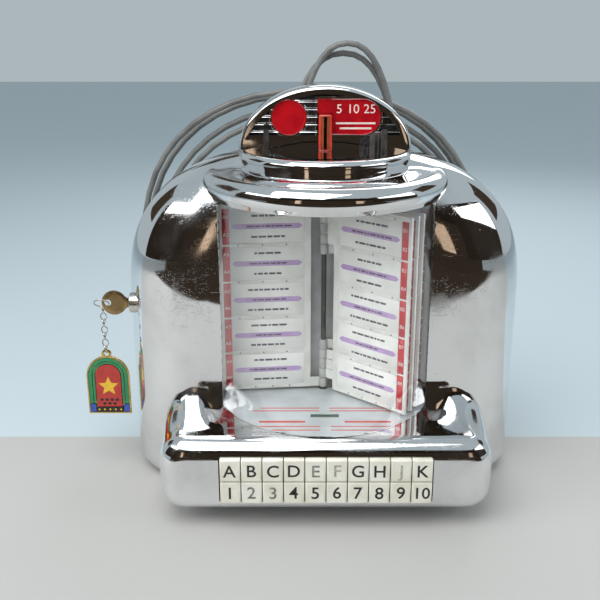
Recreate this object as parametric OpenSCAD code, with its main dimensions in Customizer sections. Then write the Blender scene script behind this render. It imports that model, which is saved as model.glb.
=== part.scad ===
// Wall box selector for a jukebox: a cast cover with a bow window, turning title pages,
// a bank of selection buttons and a coin entry, hinged on a steel back pan.
// Millimetres. X to the right, Y to the wall, Z up. The base stands on z = 0.

/* [Cover casting] */
// Width across the cheeks
case_w = 311; // [300:1:320]
// Height of the shoulders
shoulder_z = 268; // [266:1:272]
// Height where the sides start to curve in
spring_z = 150; // [140:1:160]
// Roundness of the shoulders, 2 is an ellipse
shoulder_power = 2.7; // [2.4:0.1:3]
// How far in the cheeks curve before the flat front
cheek_in = 65; // [63:1:68]
// How deep the cheeks curve
cheek_depth = 45; // [43:1:47]
// Wall of the casting
wall = 3; // [2.5:0.25:3.5]
// Radius of the lower corners
corner_r = 18; // [12:1:24]

/* [Brow and ledge] */
// How far the brow stands out past the window
brow_over = 6.5; // [5.5:0.5:7.5]
// Underside of the brow's lip
brow_lip_z = 236.3; // [235:0.1:238]
// Radius of the brow's nose
nose_r = 9.5; // [8:0.5:10]
// Radius of the ledge in plan
ledge_r = 66.6; // [65:0.2:68]
// Rounding of the ledge's top edge
ledge_round = 5; // [3:0.5:6]

/* [Head] */
// Width of the half dome
head_w = 132; // [126:1:136]
// Height of the half dome
head_h = 48; // [46:1:52]
// Depth of the half dome
head_d = 29; // [28:1:31]
// Number of louvre ribs
rib_count = 5; // [3:1:5]
// Spacing of the ribs
rib_pitch = 5.6; // [5:0.1:5.8]
// Thickness of a rib
rib_t = 1.8; // [1.2:0.1:2.2]
// Radius of the round lens
lens_r = 13.5; // [12:0.5:14]
// Length of the price window
price_l = 48; // [44:1:50]
// Height of the price window
price_h = 27; // [24:1:28]

/* [Console] */
// Width of the console
console_w = 248; // [240:1:256]
// Top of the console
console_z = 70; // [69:0.5:71]
// Underside of the console
console_low = 11; // [9:0.5:13]
// Front face of the console
console_y = 76; // [74:0.5:77]
// Rise of the horns beside the window
horn_rise = 13; // [8:1:16]

/* [Window and pages] */
// Outer radius of the bow window
window_r = 87; // [86:0.25:87.5]
// Thickness of the bow window
window_t = 1.7; // [1.4:0.1:1.8]
// Gap between the window and a page's outer edge
leaf_gap = 4; // [3.5:0.5:6]
// Height of a page
leaf_h = 155.5; // [153:0.5:156]
// Thickness of a page
leaf_t = 0.9; // [0.7:0.1:0.9]
// Radius of the spindle
spine_r = 2; // [1.6:0.1:2.2]
// Height of one title strip with its rail
strip_pitch = 30.1; // [29.5:0.1:30.4]
// Distance of a page tab from the spindle
tab_at = 45; // [44:0.5:46]
// Width of a page tab
tab_w = 4; // [3:0.5:4.5]

/* [Buttons] */
// Spacing of the buttons in a row
button_pitch = 15.6; // [15:0.1:15.8]
// Spacing of the two rows
row_pitch = 17.9; // [17.4:0.1:18.2]
// Height of the lower row's middle
row_z = 32.2; // [32:0.1:33]
// Gap between buttons
button_gap = 0.6; // [0.4:0.1:0.9]
// How far the button faces stand proud
button_proud = 4; // [3.8:0.1:5]
// Travel of a button
button_travel = 3.5; // [2:0.25:3.5]

/* [Back pan] */
// Depth of the back pan
pan_d = 36; // [35:0.5:38]
// Step from the cover in to the pan
pan_in = 7; // [6.6:0.1:8]
// Steel of the pan
pan_t = 1.5; // [1.2:0.1:2]
// Spacing of the wall holes across
hole_x = 200; // [180:5:210]
// Spacing of the wall holes in height
hole_z = 140; // [120:5:150]
// Radius of a wall hole
hole_r = 2.6; // [2:0.1:3.2]

/* [Lock and key] */
// Height of the lock
lock_z = 147.5; // [140:0.5:152]
// Radius of the lock barrel
barrel_r = 8; // [7:0.25:9]
// Radius of the turning plug
plug_r = 5; // [4:0.25:5.5]
// Radius of the key's bow
bow_r = 10; // [9:0.25:11]

/* [Cable] */
// Diameter of the cable
cable_d = 5; // [4:0.1:5.2]

/* [Hidden] */
fit = 0.05;                       // running clearance, on the radius
seat = 0.3;                       // gap left at a seat
brow_r = window_r + brow_over;
leaf_w = window_r - leaf_gap;     // width of a page from the spindle
brow_z = shoulder_z - 18;         // underside of the brow's plate
brow_t = 8;
ledge_wall = 3.5;
back_y = 80;                      // wall plane
cover_y = 50;                     // rear edge of the cover
side_y = 32;                      // where the cheeks start to curve
face_y = side_y - cheek_depth;    // flat front of the casting
bay_cy = 22;                      // centre of the bow window in plan
seat_z = shoulder_z - 1;          // plane that the head sits on
ledge_cy = 35.6;                  // centre of the ledge in plan
spine_y = bay_cy + 4;             // page spindle
panel_y = spine_y + 5.5;          // front of the panel behind the pages
panel_edge = 6;                   // panel past its screws
post_x = window_r + 5;            // cast posts that the panel is screwed to
post_z = [console_z + 14, brow_z - 50];
panel_low = console_z - 4;
collar_h = 4;                     // collars on the spindle below and above the pages
leaf_z = console_z + 1.5;         // underside of the pages
leaf_in = 10.5;                   // inner edge of a page
tab_z = seat_z + 16;              // top of the page tabs
panel_high = leaf_z + leaf_h + 5;
knuckle_r = spine_r + 1.4;
knuckle_h = 8;
knuckle_step = knuckle_h + seat;
head_y = 25;                      // front of the head's rim
recess = 4.5;                     // depth of the louvred face behind the rim
rim = 6;
band_h = 11;                      // plain band below the louvres
lens_x = -27.5;
lens_z = seat_z + 24.4;
price_x = -6;
price_z = lens_z + 0.5;
slot_h = 24.8;                    // coin slot
slot_w = 2.4;
pan_y = back_y - pan_d;
plate_t = 1.5;
frame_y = -52;                    // front of the button guide plate
cap_d = 14;
cap_y = -console_y - button_proud;
bank_half = 5 * button_pitch + 0.9;   // half width of the opening for the buttons
frame_half = bank_half + 18.1;
frame_low = row_z - 16.2;
frame_high = row_z + row_pitch + 13.9;
board_y = -32;
board_t = 1.6;
tube_half = 36;                   // lamp tube between its sockets
lamp_y = bay_cy - window_r + 19;
lamp_z = brow_z - 9;
stem_w = 5;
stem_h = 3;
stem_end = -40;
guide = 0.15;                     // clearance round a stem
drive_x = 60;                     // selector disc
drive_z = 40;
arm_r = 17.5;                     // reach of the selector arm
lock_y = 16;
barrel_in = -case_w / 2 + 25.5;   // inner and outer ends of the lock
barrel_out = -case_w / 2 + 1.5;
hinge_x = case_w / 2 - 3.9;
hinge_y = 51;
hinge_r = 2.6;
hinge_pin_r = 1.2;
hinge_z = 20;
hinge_step = 25;
leaf_rest = [174, 42, 36, 30, 5]; // page angles at rest, from the right towards the front
letters = ["a", "b", "c", "d", "e", "f", "g", "h", "j", "k"];
key_x = barrel_out - 12.8;        // middle of the key's bow
key_t = 1.6;
bow_hole_x = key_x - 5.2;
bow_hole_r = 2.8;
ring_r = 6;                       // jump ring round the thin edge of the bow, hanging behind it
ring_at = 1.5;
ring_turn = 45;
wire_r = 0.55;
link_count = 7;
link_r = 3.1;
link_step = 2 * link_r - wire_r;
chain_x = bow_hole_x - 5.3;
chain_y = lock_y + (ring_at + ring_r) * cos(ring_turn);
chain_z = lock_z - (ring_at + ring_r) * sin(ring_turn) - link_r + wire_r;   // middle of the first link
fob_w = 35.2;
fob_h = 53;
cable_r = cable_d / 2;
gland_x = -60;
gland_z = 40;
coil_turns = 6;
coil_y = 120;                     // first turn of the coil
coil_step = 5.9;
lead_points = [[-60, 92, 40], [-60, 99, 39.5], [-58, 108, 36], [-53, 115, 29], [-44, 119, 20],
    [-33, 120.3, 11.5], [-22, 120.2, 5.5], [-10, 120, 2.8]];
tail_points = [[-2, 84.6, 2.8], [10, 84.6, 2.8], [24, 86, 3], [38, 90, 4], [52, 95.7, 6.5], [66, 101, 8.3]];

// ---- outlines and lofts ----

function spow(v, p) = sign(v) * pow(abs(v), p);
function arc(cx, cz, r, a0, a1, n) =
    [for (i = [0:n]) let (a = a0 + (a1 - a0) * i / n) [cx + r * cos(a), cz + r * sin(a)]];
function smooth(t) = let (u = min(1, max(0, t))) u * u * (3 - 2 * u);
function at_y(outline, y) = [for (p = outline) [p[0], y, p[1]]];

// Arch of the housing seen from the front, drawn in by e, standing on z = low
function arch(e, low) = let (w = case_w / 2 - e, h = shoulder_z - spring_z - e) concat(
    arc(w - corner_r, low + corner_r, corner_r, -90, 0, 4),
    [for (i = [0:22]) let (a = 180 * i / 22, p = 2 / shoulder_power)
        [w * spow(cos(a), p), spring_z + h * spow(sin(a), p)]],
    arc(-w + corner_r, low + corner_r, corner_r, 180, 270, 4));

// Half dome of the head, drawn in by e
function dome(e) = let (w = head_w / 2 - e, h = head_h - e)
    [for (i = [0:24]) let (a = 180 * i / 24) [w * cos(a), seat_z + h * sin(a)]];

// Console seen from the front, drawn in by e, its horns raised by rise
function console(e, rise) = let (
    w = console_w / 2 - e,
    top = console_z - e,
    low = console_low + e,
    c = corner_r - e / 2) concat(
    arc(w - c, low + c, c, -90, 0, 4),
    [for (p = arc(w - c, top - c, c, 0, 90, 4)) [p[0], p[1] + rise * smooth((p[0] - 78) / 22)]],
    [for (i = [1:7]) let (x = (w - c) * (1 - i / 4)) [x, top + rise * smooth((abs(x) - 78) / 22)]],
    [for (p = arc(-w + c, top - c, c, 90, 180, 4)) [p[0], p[1] + rise * smooth((-p[0] - 78) / 22)]],
    arc(-w + c, low + c, c, 180, 270, 4));

// Solid through rings of equal length, listed from back to front
module loft(rings) {
    n = len(rings[0]);
    m = len(rings);
    polyhedron(
        points = [for (r = rings) each r],
        faces = concat(
            [[for (j = [0:n - 1]) j]],
            [for (i = [0:m - 2], j = [0:n - 1]) let (k = (j + 1) % n) [i * n + j, (i + 1) * n + k, i * n + k]],
            [for (i = [0:m - 2], j = [0:n - 1]) let (k = (j + 1) % n) [i * n + j, i * n + j + n, i * n + k + n]],
            [[for (j = [n - 1:-1:0]) (m - 1) * n + j]]),
        convexity = 6);
}

// Prism between two depths, its outline in X and Z
module plate_y(y0, y1) {
    translate([0, y1, 0]) rotate([90, 0, 0]) linear_extrude(y1 - y0) children();
}

// Cylinder along Y, and one along X
module rod_y(r, y0, y1) {
    translate([0, y1, 0]) rotate([90, 0, 0]) cylinder(r = r, h = y1 - y0, $fn = 48);
}
module rod_x(r, x0, x1) {
    translate([x0, 0, 0]) rotate([0, 90, 0]) cylinder(r = r, h = x1 - x0, $fn = 48);
}
module box(x0, x1, y0, y1, z0, z1) {
    translate([x0, y0, z0]) cube([x1 - x0, y1 - y0, z1 - z0]);
}

// Prism with rounded corners, in X and Z
module rounded(w, h, r) {
    polygon(concat(arc(w / 2 - r, h / 2 - r, r, 0, 90, 4), arc(-w / 2 + r, h / 2 - r, r, 90, 180, 4),
        arc(-w / 2 + r, -h / 2 + r, r, 180, 270, 4), arc(w / 2 - r, -h / 2 + r, r, 270, 360, 4)));
}

// ---- the cover ----

// Housing between its rear edge and its flat front, moved in by t on every side
module case_body(t) {
    loft(concat(
        [at_y(arch(t, t), cover_y + (t > 0 ? 1 : 0))],
        [for (a = [0:10:90]) let (e = cheek_in * (1 - cos(a)))
            at_y(arch(e + t, t + max(0, e - 45) / 2), side_y + t - cheek_depth * sin(a))]));
}

module console_body(t) {
    round_y = 16;
    loft(concat(
        [for (y = [side_y - 30, -20, -36, -50])
            at_y(console(t, horn_rise * (1 - smooth((-y - 14) / 46))), y + t)],
        [for (a = [0:15:90]) let (rise = horn_rise * (1 - smooth((console_y - 30 + round_y * sin(a)) / 46)))
            at_y(console(t + round_y * (1 - cos(a)), rise), -console_y + round_y * (1 - sin(a)) + t)]));
}

module brow_profile() {
    nose_c = brow_r - nose_r;
    polygon(concat(
        [[30, brow_z], [30, brow_z + brow_t], [58, brow_z + brow_t - 0.5]],
        arc(nose_c, brow_lip_z + nose_r - 0.5, nose_r, 100, -40, 7),
        [[nose_c + 5.4, brow_lip_z], [window_r + 1, brow_lip_z]],
        [[window_r + 1, brow_z - 4], [window_r - 6, brow_z]]));
}

module ledge_profile() {
    polygon(concat(
        [[0, brow_z], [ledge_r - 1, brow_z]],
        arc(ledge_r - ledge_round, seat_z - ledge_round, ledge_round, 0, 90, 5),
        [[0, seat_z]]));
}

// Slot that the page tabs travel in
module tab_slot(z0, z1) {
    gap = 1.2;
    translate([0, spine_y, z0]) difference() {
        cylinder(r = tab_at + tab_w / 2 + gap, h = z1 - z0, $fn = 96);
        translate([0, 0, -1]) cylinder(r = tab_at - tab_w / 2 - gap, h = z1 - z0 + 2, $fn = 96);
        translate([-80, 0, -1]) cube([160, 80, z1 - z0 + 2]);
    }
}

module cover_casting() color([0.82, 0.84, 0.86]) {
    // posts for the page panel
    for (x = [-post_x, post_x], z = post_z)
        translate([x, 0, z]) rod_y(4, face_y + (z > spring_z ? 4 : 1.5), panel_y - seat);
    difference() {
        union() {
            case_body(0);
            console_body(0);
            translate([0, bay_cy, 0]) intersection() {
                rotate_extrude($fn = 96) brow_profile();
                translate([-120, -120, brow_z - 50]) cube([240, 120, 80]);
            }
            translate([0, ledge_cy, 0]) intersection() {
                rotate_extrude($fn = 96) ledge_profile();
                translate([-120, -120, brow_z - 50]) cube([240, 120 - ledge_cy + 40, 80]);
            }
        }
        case_body(wall);
        console_body(wall);
        // hollow below the ledge, and the flat that the head sits on
        translate([0, ledge_cy, brow_z - 5])
            cylinder(r = ledge_r - ledge_wall - 1, h = seat_z - ledge_wall - brow_z + 5, $fn = 96);
        box(-head_w / 2 - 9, head_w / 2 + 9, -60, cover_y + 1, seat_z, shoulder_z + 1);
        // window bay
        intersection() {
            box(-window_r + 5, window_r - 5, face_y - 1, face_y + wall + 1, console_z - 4, brow_z - 1);
            translate([0, bay_cy, 0]) cylinder(r = window_r + seat, h = 300, $fn = 96);
        }
        translate([0, bay_cy, console_z - 4]) cylinder(r = window_r - 7, h = 20, $fn = 96);
        // the pages turn inside this space, up to the brow
        translate([0, bay_cy, console_z - plate_t - 0.2])
            cylinder(r = window_r - 2.8, h = brow_z - 1 - console_z + plate_t + 0.2, $fn = 96);
        translate([0, bay_cy, console_z]) cylinder(r = window_r + seat, h = 20, $fn = 96);
        tab_slot(brow_z - 5, seat_z + 2);
        // coin way, button opening, lock, hinge and the tongue of the pan
        box(-4.5, 4.5, spine_y + 4, cover_y + 2, brow_z - 5, seat_z + 1);
        box(-bank_half, bank_half, -console_y - 5, -console_y + 12, row_z - 9.5, row_z + row_pitch + 9.5);
        translate([0, lock_y, lock_z]) rod_x(barrel_r + fit, barrel_out - 16, barrel_in + 1);
        box(hinge_x - 5, case_w / 2 + 2, hinge_y - 5, cover_y + 2, hinge_z - 2, hinge_z + 5 * hinge_step + 2);
        box(-case_w / 2 + pan_in - 0.8, case_w / 2 - pan_in + 0.8, pan_y - seat, cover_y + 2, -1, pan_in + 1);
    }
}

module head_casting() color([0.82, 0.84, 0.86]) {
    mid_y = head_y + head_d;
    difference() {
        union() {
            difference() {
                loft([at_y(dome(9), mid_y), at_y(dome(3.5), mid_y - 1.5), at_y(dome(0.8), mid_y - 5),
                    at_y(dome(0), mid_y - 9), at_y(dome(0), head_y + 5), at_y(dome(1.2), head_y + 1.2),
                    at_y(dome(3), head_y)]);
                intersection() {
                    loft([at_y(dome(rim + 1.5), head_y + recess), at_y(dome(rim), head_y - 1)]);
                    box(-80, 80, 0, 60, seat_z + band_h, 400);
                }
                translate([0, 0, -1]) loft([at_y(dome(wall + 5), mid_y - wall), at_y(dome(wall), mid_y - 9),
                    at_y(dome(wall), head_y + recess + wall)]);
            }
            intersection() {
                union() {
                    for (i = [0:rib_count - 1]) translate([0, 0, seat_z + band_h + 2.2 + i * rib_pitch])
                        box(-80, 80, head_y + 0.6, head_y + recess + 1, 0, rib_t);
                    translate([lens_x, 0, lens_z]) rod_y(lens_r + 1.6, head_y + 0.8, head_y + recess + 1);
                    price_outline(1.6, head_y + 0.8, head_y + recess + 1);
                }
                loft([at_y(dome(rim - 1), head_y + recess + 2), at_y(dome(rim - 1), head_y)]);
            }
        }
        translate([lens_x, 0, lens_z]) rod_y(lens_r + fit, head_y - 1, head_y + recess + wall + 1);
        price_outline(0.1, head_y - 1, head_y + recess + wall + 1);
        box(-5.3, 5.3, head_y - 1, head_y + recess + wall + 1, seat_z - 1, seat_z + slot_h + 2.4);
    }
}

// Price window: round at its right end, hollowed round the lens at its left
module price_outline(grow, y0, y1) {
    r = price_h / 2 + grow;
    difference() {
        union() {
            translate([price_x + price_l - price_h / 2, 0, price_z]) rod_y(r, y0, y1);
            box(price_x - 8, price_x + price_l - price_h / 2, y0, y1, price_z - r, price_z + r);
        }
        translate([lens_x, 0, lens_z]) rod_y(lens_r + 4.4 - grow, y0 - 1, y1 + 1);
        box(price_x - 30, price_x - grow, y0 - 1, y1 + 1, price_z - 40, price_z + 40);
    }
}

// Room behind the head's face that the lens flanges stay inside
module head_room() {
    translate([0, 0, -1])
        loft([at_y(dome(wall + seat), head_y + recess + wall + 3), at_y(dome(wall + seat), head_y + recess + wall)]);
}

module round_lens() color([0.75, 0.05, 0.08]) {
    union() {
        translate([lens_x, 0, lens_z]) rod_y(lens_r, head_y + 1.6, head_y + recess + wall + 0.1);
        intersection() {
            translate([lens_x, 0, lens_z]) rod_y(lens_r + 2, head_y + recess + wall, head_y + recess + wall + 1.5);
            head_room();
        }
    }
}

module price_lens() color([0.72, 0.05, 0.08]) {
    difference() {
        union() {
            price_outline(0, head_y + 1.6, head_y + recess + wall + 0.1);
            intersection() {
                price_outline(1.5, head_y + recess + wall, head_y + recess + wall + 1.5);
                head_room();
            }
        }
        box(-5.5, 5.5, head_y - 1, head_y + recess + wall + 3, seat_z - 1, seat_z + slot_h + 2.6);
        translate([lens_x, 0, lens_z]) rod_y(lens_r + 2.3, head_y, head_y + 20);
    }
}

// Upright red block with the coin slot
module coin_bezel() color([0.7, 0.1, 0.06]) {
    difference() {
        box(-5.1, 5.1, head_y - 5, head_y + recess + wall, seat_z, seat_z + slot_h + 2.2);
        box(-slot_w / 2, slot_w / 2, head_y - 6, head_y + recess + wall + 1, seat_z + 0.8, seat_z + 0.8 + slot_h);
    }
}

// Channel that takes the coin from the slot down behind the pages
module coin_entry_chute() color([0.7, 0.68, 0.6]) {
    y0 = head_y + recess + wall + 1.8;
    difference() {
        box(-3.6, 3.6, y0, cover_y - 1, brow_z - 14, seat_z + slot_h + 3);
        box(-slot_w / 2 - 0.3, slot_w / 2 + 0.3, y0 - 1, cover_y - 2, seat_z, seat_z + slot_h + 1.5);
        box(-slot_w / 2 - 0.3, slot_w / 2 + 0.3, y0 + 1, cover_y + 10, brow_z - 15, seat_z - 6);
        box(-slot_w / 2 - 0.3, slot_w / 2 + 0.3, y0 + 1, cover_y - 2, brow_z - 15, seat_z + 10);
        box(-10, 10, pan_y - seat, cover_y + 10, brow_z - 20, seat_z - 5);
    }
}

module bow_window() color([0.85, 0.92, 0.95, 0.35]) {
    top = brow_lip_z + 8;
    translate([0, bay_cy, console_z + 0.05]) difference() {
        cylinder(r = window_r, h = top - console_z, $fn = 128);
        translate([0, 0, -1]) cylinder(r = window_r - window_t, h = top, $fn = 128);
        translate([-100, face_y - bay_cy + 2, -1]) cube([200, 200, top]);
    }
}

module instruction_plate() color([0.82, 0.84, 0.84]) {
    translate([0, bay_cy, console_z - plate_t - 0.2]) difference() {
        cylinder(r = window_r - 3.1, h = plate_t, $fn = 96);
        translate([-100, spine_y - bay_cy - 1, -1]) cube([200, 200, 4]);
        translate([-100, face_y + 4 - bay_cy, -1]) cube([20, 200, 4]);
        translate([80, face_y + 4 - bay_cy, -1]) cube([20, 200, 4]);
        translate([-11, -window_r + 35, -1]) cube([22, 6, 4]);
        translate([0, spine_y - bay_cy, -1]) cylinder(r = knuckle_r + seat, h = plate_t + 2, $fn = 48);
    }
}

// ---- pages ----

module page_panel() color([0.6, 0.62, 0.62]) {
    difference() {
        union() {
            box(-post_x - panel_edge, post_x + panel_edge, panel_y, panel_y + plate_t, panel_low, panel_high);
            for (z = [panel_low, panel_high - plate_t])
                box(-12, 12, spine_y - 7, panel_y + plate_t, z, z + plate_t);
            for (x = [-post_x, post_x], z = post_z) translate([x, 0, z]) rod_y(2.8, panel_y + 1, panel_y + 3.2);
        }
        translate([0, spine_y, panel_low - 6]) cylinder(r = spine_r, h = leaf_h + 30, $fn = 48);
        for (x = [-post_x, post_x], z = post_z)
            translate([x, 0, z]) box(-2, 2, panel_y + 2.7, panel_y + 4, -0.4, 0.4);
    }
}

module page_spindle() color([0.35, 0.35, 0.36]) {
    translate([0, spine_y, panel_low - 1]) cylinder(r = spine_r, h = panel_high - panel_low + 2, $fn = 48);
    translate([0, spine_y, leaf_z - collar_h]) cylinder(r = knuckle_r, h = collar_h, $fn = 48);
    translate([0, spine_y, leaf_z + leaf_h])
        cylinder(r = knuckle_r, h = panel_high - plate_t - leaf_z - leaf_h, $fn = 48);
}

// Page k: two sleeves on the spindle, a plate with strip rails on both faces, an outer bead and a tab
module page(k) {
    top = leaf_z + leaf_h;
    rail_z = leaf_z + 1.2;
    low = leaf_z + 0.3 + (k - 1) * knuckle_step;
    high = top - 0.3 - knuckle_h - (k - 1) * knuckle_step;
    translate([0, spine_y, 0]) rotate([0, 0, -leaf_rest[k - 1]]) difference() {
        union() {
            box(leaf_in, leaf_w, -leaf_t / 2, leaf_t / 2, leaf_z, top);
            box(leaf_w - 2.5, leaf_w, -1.1, 1.1, leaf_z, top);
            for (i = [0:5]) translate([0, 0, rail_z + i * strip_pitch])
                box(24, leaf_w - 8.5, -leaf_t / 2 - 0.5, leaf_t / 2 + 0.5, -0.7, 2.3);
            for (z = [low, high]) {
                translate([0, 0, z]) cylinder(r = knuckle_r, h = knuckle_h, $fn = 48);
                box(0, leaf_in + 1, -leaf_t / 2, leaf_t / 2, z, z + knuckle_h);
            }
            box(tab_at - tab_w / 2, tab_at + tab_w / 2, -leaf_t / 2, leaf_t / 2, top - 6, top);
            box(tab_at - tab_w / 2, tab_at + tab_w / 2, -leaf_t / 2 - 0.3, leaf_t / 2 + 0.3, top, tab_z);
        }
        translate([0, 0, leaf_z - 5]) cylinder(r = spine_r + fit, h = leaf_h + 10, $fn = 48);
    }
}

module page_1() color([0.9, 0.9, 0.86]) page(1);
module page_2() color([0.9, 0.9, 0.86]) page(2);
module page_3() color([0.88, 0.88, 0.84]) page(3);
module page_4() color([0.88, 0.88, 0.84]) page(4);
module page_5() color([0.86, 0.86, 0.82]) page(5);

// ---- buttons ----

function column_x(i) = (i - 4.5) * button_pitch;
function column(name) = search([name], letters)[0];

// Cap with a bevelled face, its stem, and the stop collar behind the guide plate
module button(i, upper) {
    w = button_pitch - button_gap;
    h = row_pitch - button_gap;
    b = 1.6;
    z = row_z + (upper ? row_pitch : 0);
    collar_y = frame_y + plate_t + 0.2;
    translate([column_x(i), 0, z]) union() {
        intersection() {
            plate_y(cap_y, cap_y + cap_d) rounded(w, h, 1);
            translate([0, 0, -h / 2]) linear_extrude(h)
                polygon([[-w / 2 + b, cap_y], [w / 2 - b, cap_y], [w / 2, cap_y + b],
                    [w / 2, cap_y + cap_d], [-w / 2, cap_y + cap_d], [-w / 2, cap_y + b]]);
            translate([-w / 2, 0, 0]) rotate([90, 0, 90]) linear_extrude(w)
                polygon([[cap_y, -h / 2 + b], [cap_y, h / 2 - b], [cap_y + b, h / 2],
                    [cap_y + cap_d, h / 2], [cap_y + cap_d, -h / 2], [cap_y + b, -h / 2]]);
        }
        box(-stem_w / 2, stem_w / 2, cap_y + cap_d - 1, stem_end, -stem_h / 2, stem_h / 2);
        box(-stem_w / 2 - 1.2, stem_w / 2 + 1.2, collar_y, collar_y + 1.4, -stem_h / 2, stem_h / 2);
    }
}

module letter_button(name) color([0.93, 0.91, 0.82]) button(column(name), true);
module number_button(n) color([0.93, 0.91, 0.82]) button(n - 1, false);

module button_frame() color([0.5, 0.5, 0.5]) {
    foot_y = -console_y + wall + seat;
    mid_z = (frame_low + frame_high) / 2;
    difference() {
        union() {
            box(-frame_half, frame_half, frame_y, frame_y + plate_t, frame_low, frame_high);
            for (s = [-1, 1]) {
                translate([s * (frame_half - plate_t / 2), 0, mid_z])
                    box(-plate_t / 2, plate_t / 2, foot_y, frame_y + 1, -8, 9);
                translate([s * (frame_half - 6), 0, mid_z]) box(-6, 6, foot_y, foot_y + plate_t, -8, 9);
            }
        }
        for (i = [0:9], r = [0, 1])
            translate([column_x(i), 0, row_z + r * row_pitch])
                box(-stem_w / 2 - guide, stem_w / 2 + guide, frame_y - 1, frame_y + 5,
                    -stem_h / 2 - guide, stem_h / 2 + guide);
    }
}

// Return springs between the caps and the guide plate
module button_springs() color([0.7, 0.7, 0.72]) {
    for (i = [0:9], r = [0, 1])
        translate([column_x(i), 0, row_z + r * row_pitch]) difference() {
            rod_y(4.2, cap_y + cap_d + 0.05, frame_y - 0.05);
            rod_y(3.5, cap_y + cap_d - 1, frame_y + 1);
        }
}

// Board with a contact button behind every stem
module contact_board() color([0.45, 0.28, 0.16]) {
    union() {
        box(-frame_half, frame_half, board_y, board_y + board_t, frame_low, frame_high);
        for (i = [0:9], r = [0, 1])
            translate([column_x(i), 0, row_z + r * row_pitch])
                rod_y(2, stem_end + button_travel + 0.4, board_y + 0.1);
        for (x = [-frame_half + 6, frame_half - 6], z = [frame_low + 5, frame_high - 5])
            translate([x, 0, z]) rod_y(2.5, frame_y + plate_t, board_y + 0.1);
    }
}

// ---- light and selector drive ----

module lamp() color([0.95, 0.94, 0.88]) {
    translate([0, lamp_y, lamp_z]) union() {
        rod_x(4, -tube_half + 2, tube_half - 2);
        for (s = [-1, 1]) translate([s * tube_half, 0, 0]) union() {
            rod_x(5, -3, 3);
            box(-3, 3, -3, 3, 0, brow_z - lamp_z - 0.2);
        }
    }
}

module selector_disc() color([0.5, 0.3, 0.15]) {
    translate([drive_x, 0, drive_z]) difference() {
        union() {
            rod_y(24, -12, -10);
            for (a = [0:24:359]) rotate([0, a, 0]) translate([arm_r - 2, 0, 0]) rod_y(1.4, -13, -11.9);
            for (x = [-17.6, 17.6]) translate([x, 0, 12.6]) rod_y(2.4, board_y + board_t, -11.9);
        }
        rod_y(2.6, -20, 0);
    }
}

module selector_motor() color([0.3, 0.3, 0.32]) {
    translate([drive_x, 0, drive_z]) union() {
        rod_y(15, -9.9, 16);
        rod_y(2.5, -17, -9.8);
    }
}

module selector_arm() color([0.75, 0.6, 0.3]) {
    translate([drive_x, 0, drive_z]) difference() {
        union() {
            rod_y(4.5, -16.4, -13.6);
            box(-2, 2, -15.4, -13.6, 0, arm_r);
        }
        rod_y(2.5 + fit, -20, 0);
    }
}

// ---- lock, key and fob ----

module lock_barrel() color([0.75, 0.73, 0.68]) {
    translate([0, lock_y, lock_z]) difference() {
        rod_x(barrel_r, barrel_out, barrel_in);
        rod_x(plug_r + fit, barrel_out - 1, barrel_in + 1);
    }
}

module lock_plug() color([0.72, 0.6, 0.3]) {
    translate([0, lock_y, lock_z]) difference() {
        union() {
            rod_x(plug_r, barrel_out - 0.4, barrel_in + 0.4);
            box(barrel_in + 0.4, barrel_in + 2.4, -5, 26, -5, 5);
        }
        box(barrel_out - 1, barrel_out + 20, -1.05, 1.05, -3.4, 3.4);
    }
}

// Key lying in the plug, its bow turned to the front
module key() color([0.55, 0.42, 0.2]) {
    blade = key_t / 2;
    translate([0, lock_y, lock_z]) difference() {
        union() {
            translate([key_x, 0, 0]) rod_y(bow_r, -blade, blade);
            box(key_x + bow_r - 3, barrel_out - 0.4, -blade, blade, -3.8, 3.8);
            box(barrel_out - 0.5, barrel_out + 19.7, -blade, blade, -3.2, 3.2);
        }
        translate([bow_hole_x, 0, 0]) rod_y(bow_hole_r, -3, 3);
        for (i = [0:2])
            translate([barrel_out + 6 + i * 4, 0, -3.4]) rotate([0, 45, 0]) box(-1, 1, -2, 2, -1, 1);
    }
}

module ring(r, wire) {
    rotate_extrude($fn = 40) translate([r, 0, 0]) circle(r = wire, $fn = 16);
}

// Jump ring through the bow, and the links down to the fob
module key_chain() color([0.8, 0.8, 0.78]) {
    translate([chain_x, lock_y, lock_z]) rotate([-ring_turn, 0, 0]) translate([0, ring_at, 0]) ring(ring_r, wire_r);
    for (i = [0:link_count - 1]) translate([chain_x, chain_y, chain_z - i * link_step])
        rotate([90, 0, i % 2 == 0 ? 90 : 0]) ring(link_r, wire_r);
}

// Enamelled fob with an arched top, hung on the last link
module key_fob() color([0.85, 0.68, 0.25]) {
    hole_z = chain_z - (link_count - 1) * link_step - link_r + wire_r + seat - 2;
    arch_z = -19.5;
    translate([chain_x, chain_y, hole_z]) difference() {
        plate_y(-1.1, 1.1) union() {
            polygon(concat(
                [[-fob_w / 2, -fob_h], [fob_w / 2, -fob_h], [fob_w / 2, arch_z]],
                arc(0, arch_z, fob_w / 2, 15, 165, 10),
                [[-fob_w / 2, arch_z]]));
            circle(r = 4, $fn = 32);
        }
        plate_y(-3, 3) circle(r = 2, $fn = 32);
    }
}

// ---- back pan and what it holds ----

module back_pan() color([0.55, 0.56, 0.55]) {
    difference() {
        plate_y(pan_y, back_y) polygon(arch(pan_in, 0));
        plate_y(pan_y - 1, back_y - pan_t) polygon(arch(pan_in + pan_t, pan_t));
        for (x = [-hole_x / 2, hole_x / 2], z = [0, hole_z])
            translate([x, 0, 60 + z]) rod_y(hole_r, back_y - 5, back_y + 1);
        translate([gland_x, 0, gland_z]) rod_y(5, back_y - 5, back_y + 1);
    }
}

module hinge_pin(r) {
    translate([hinge_x, hinge_y, hinge_z - 1]) cylinder(r = r, h = 5 * hinge_step + 2, $fn = 48);
}

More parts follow.
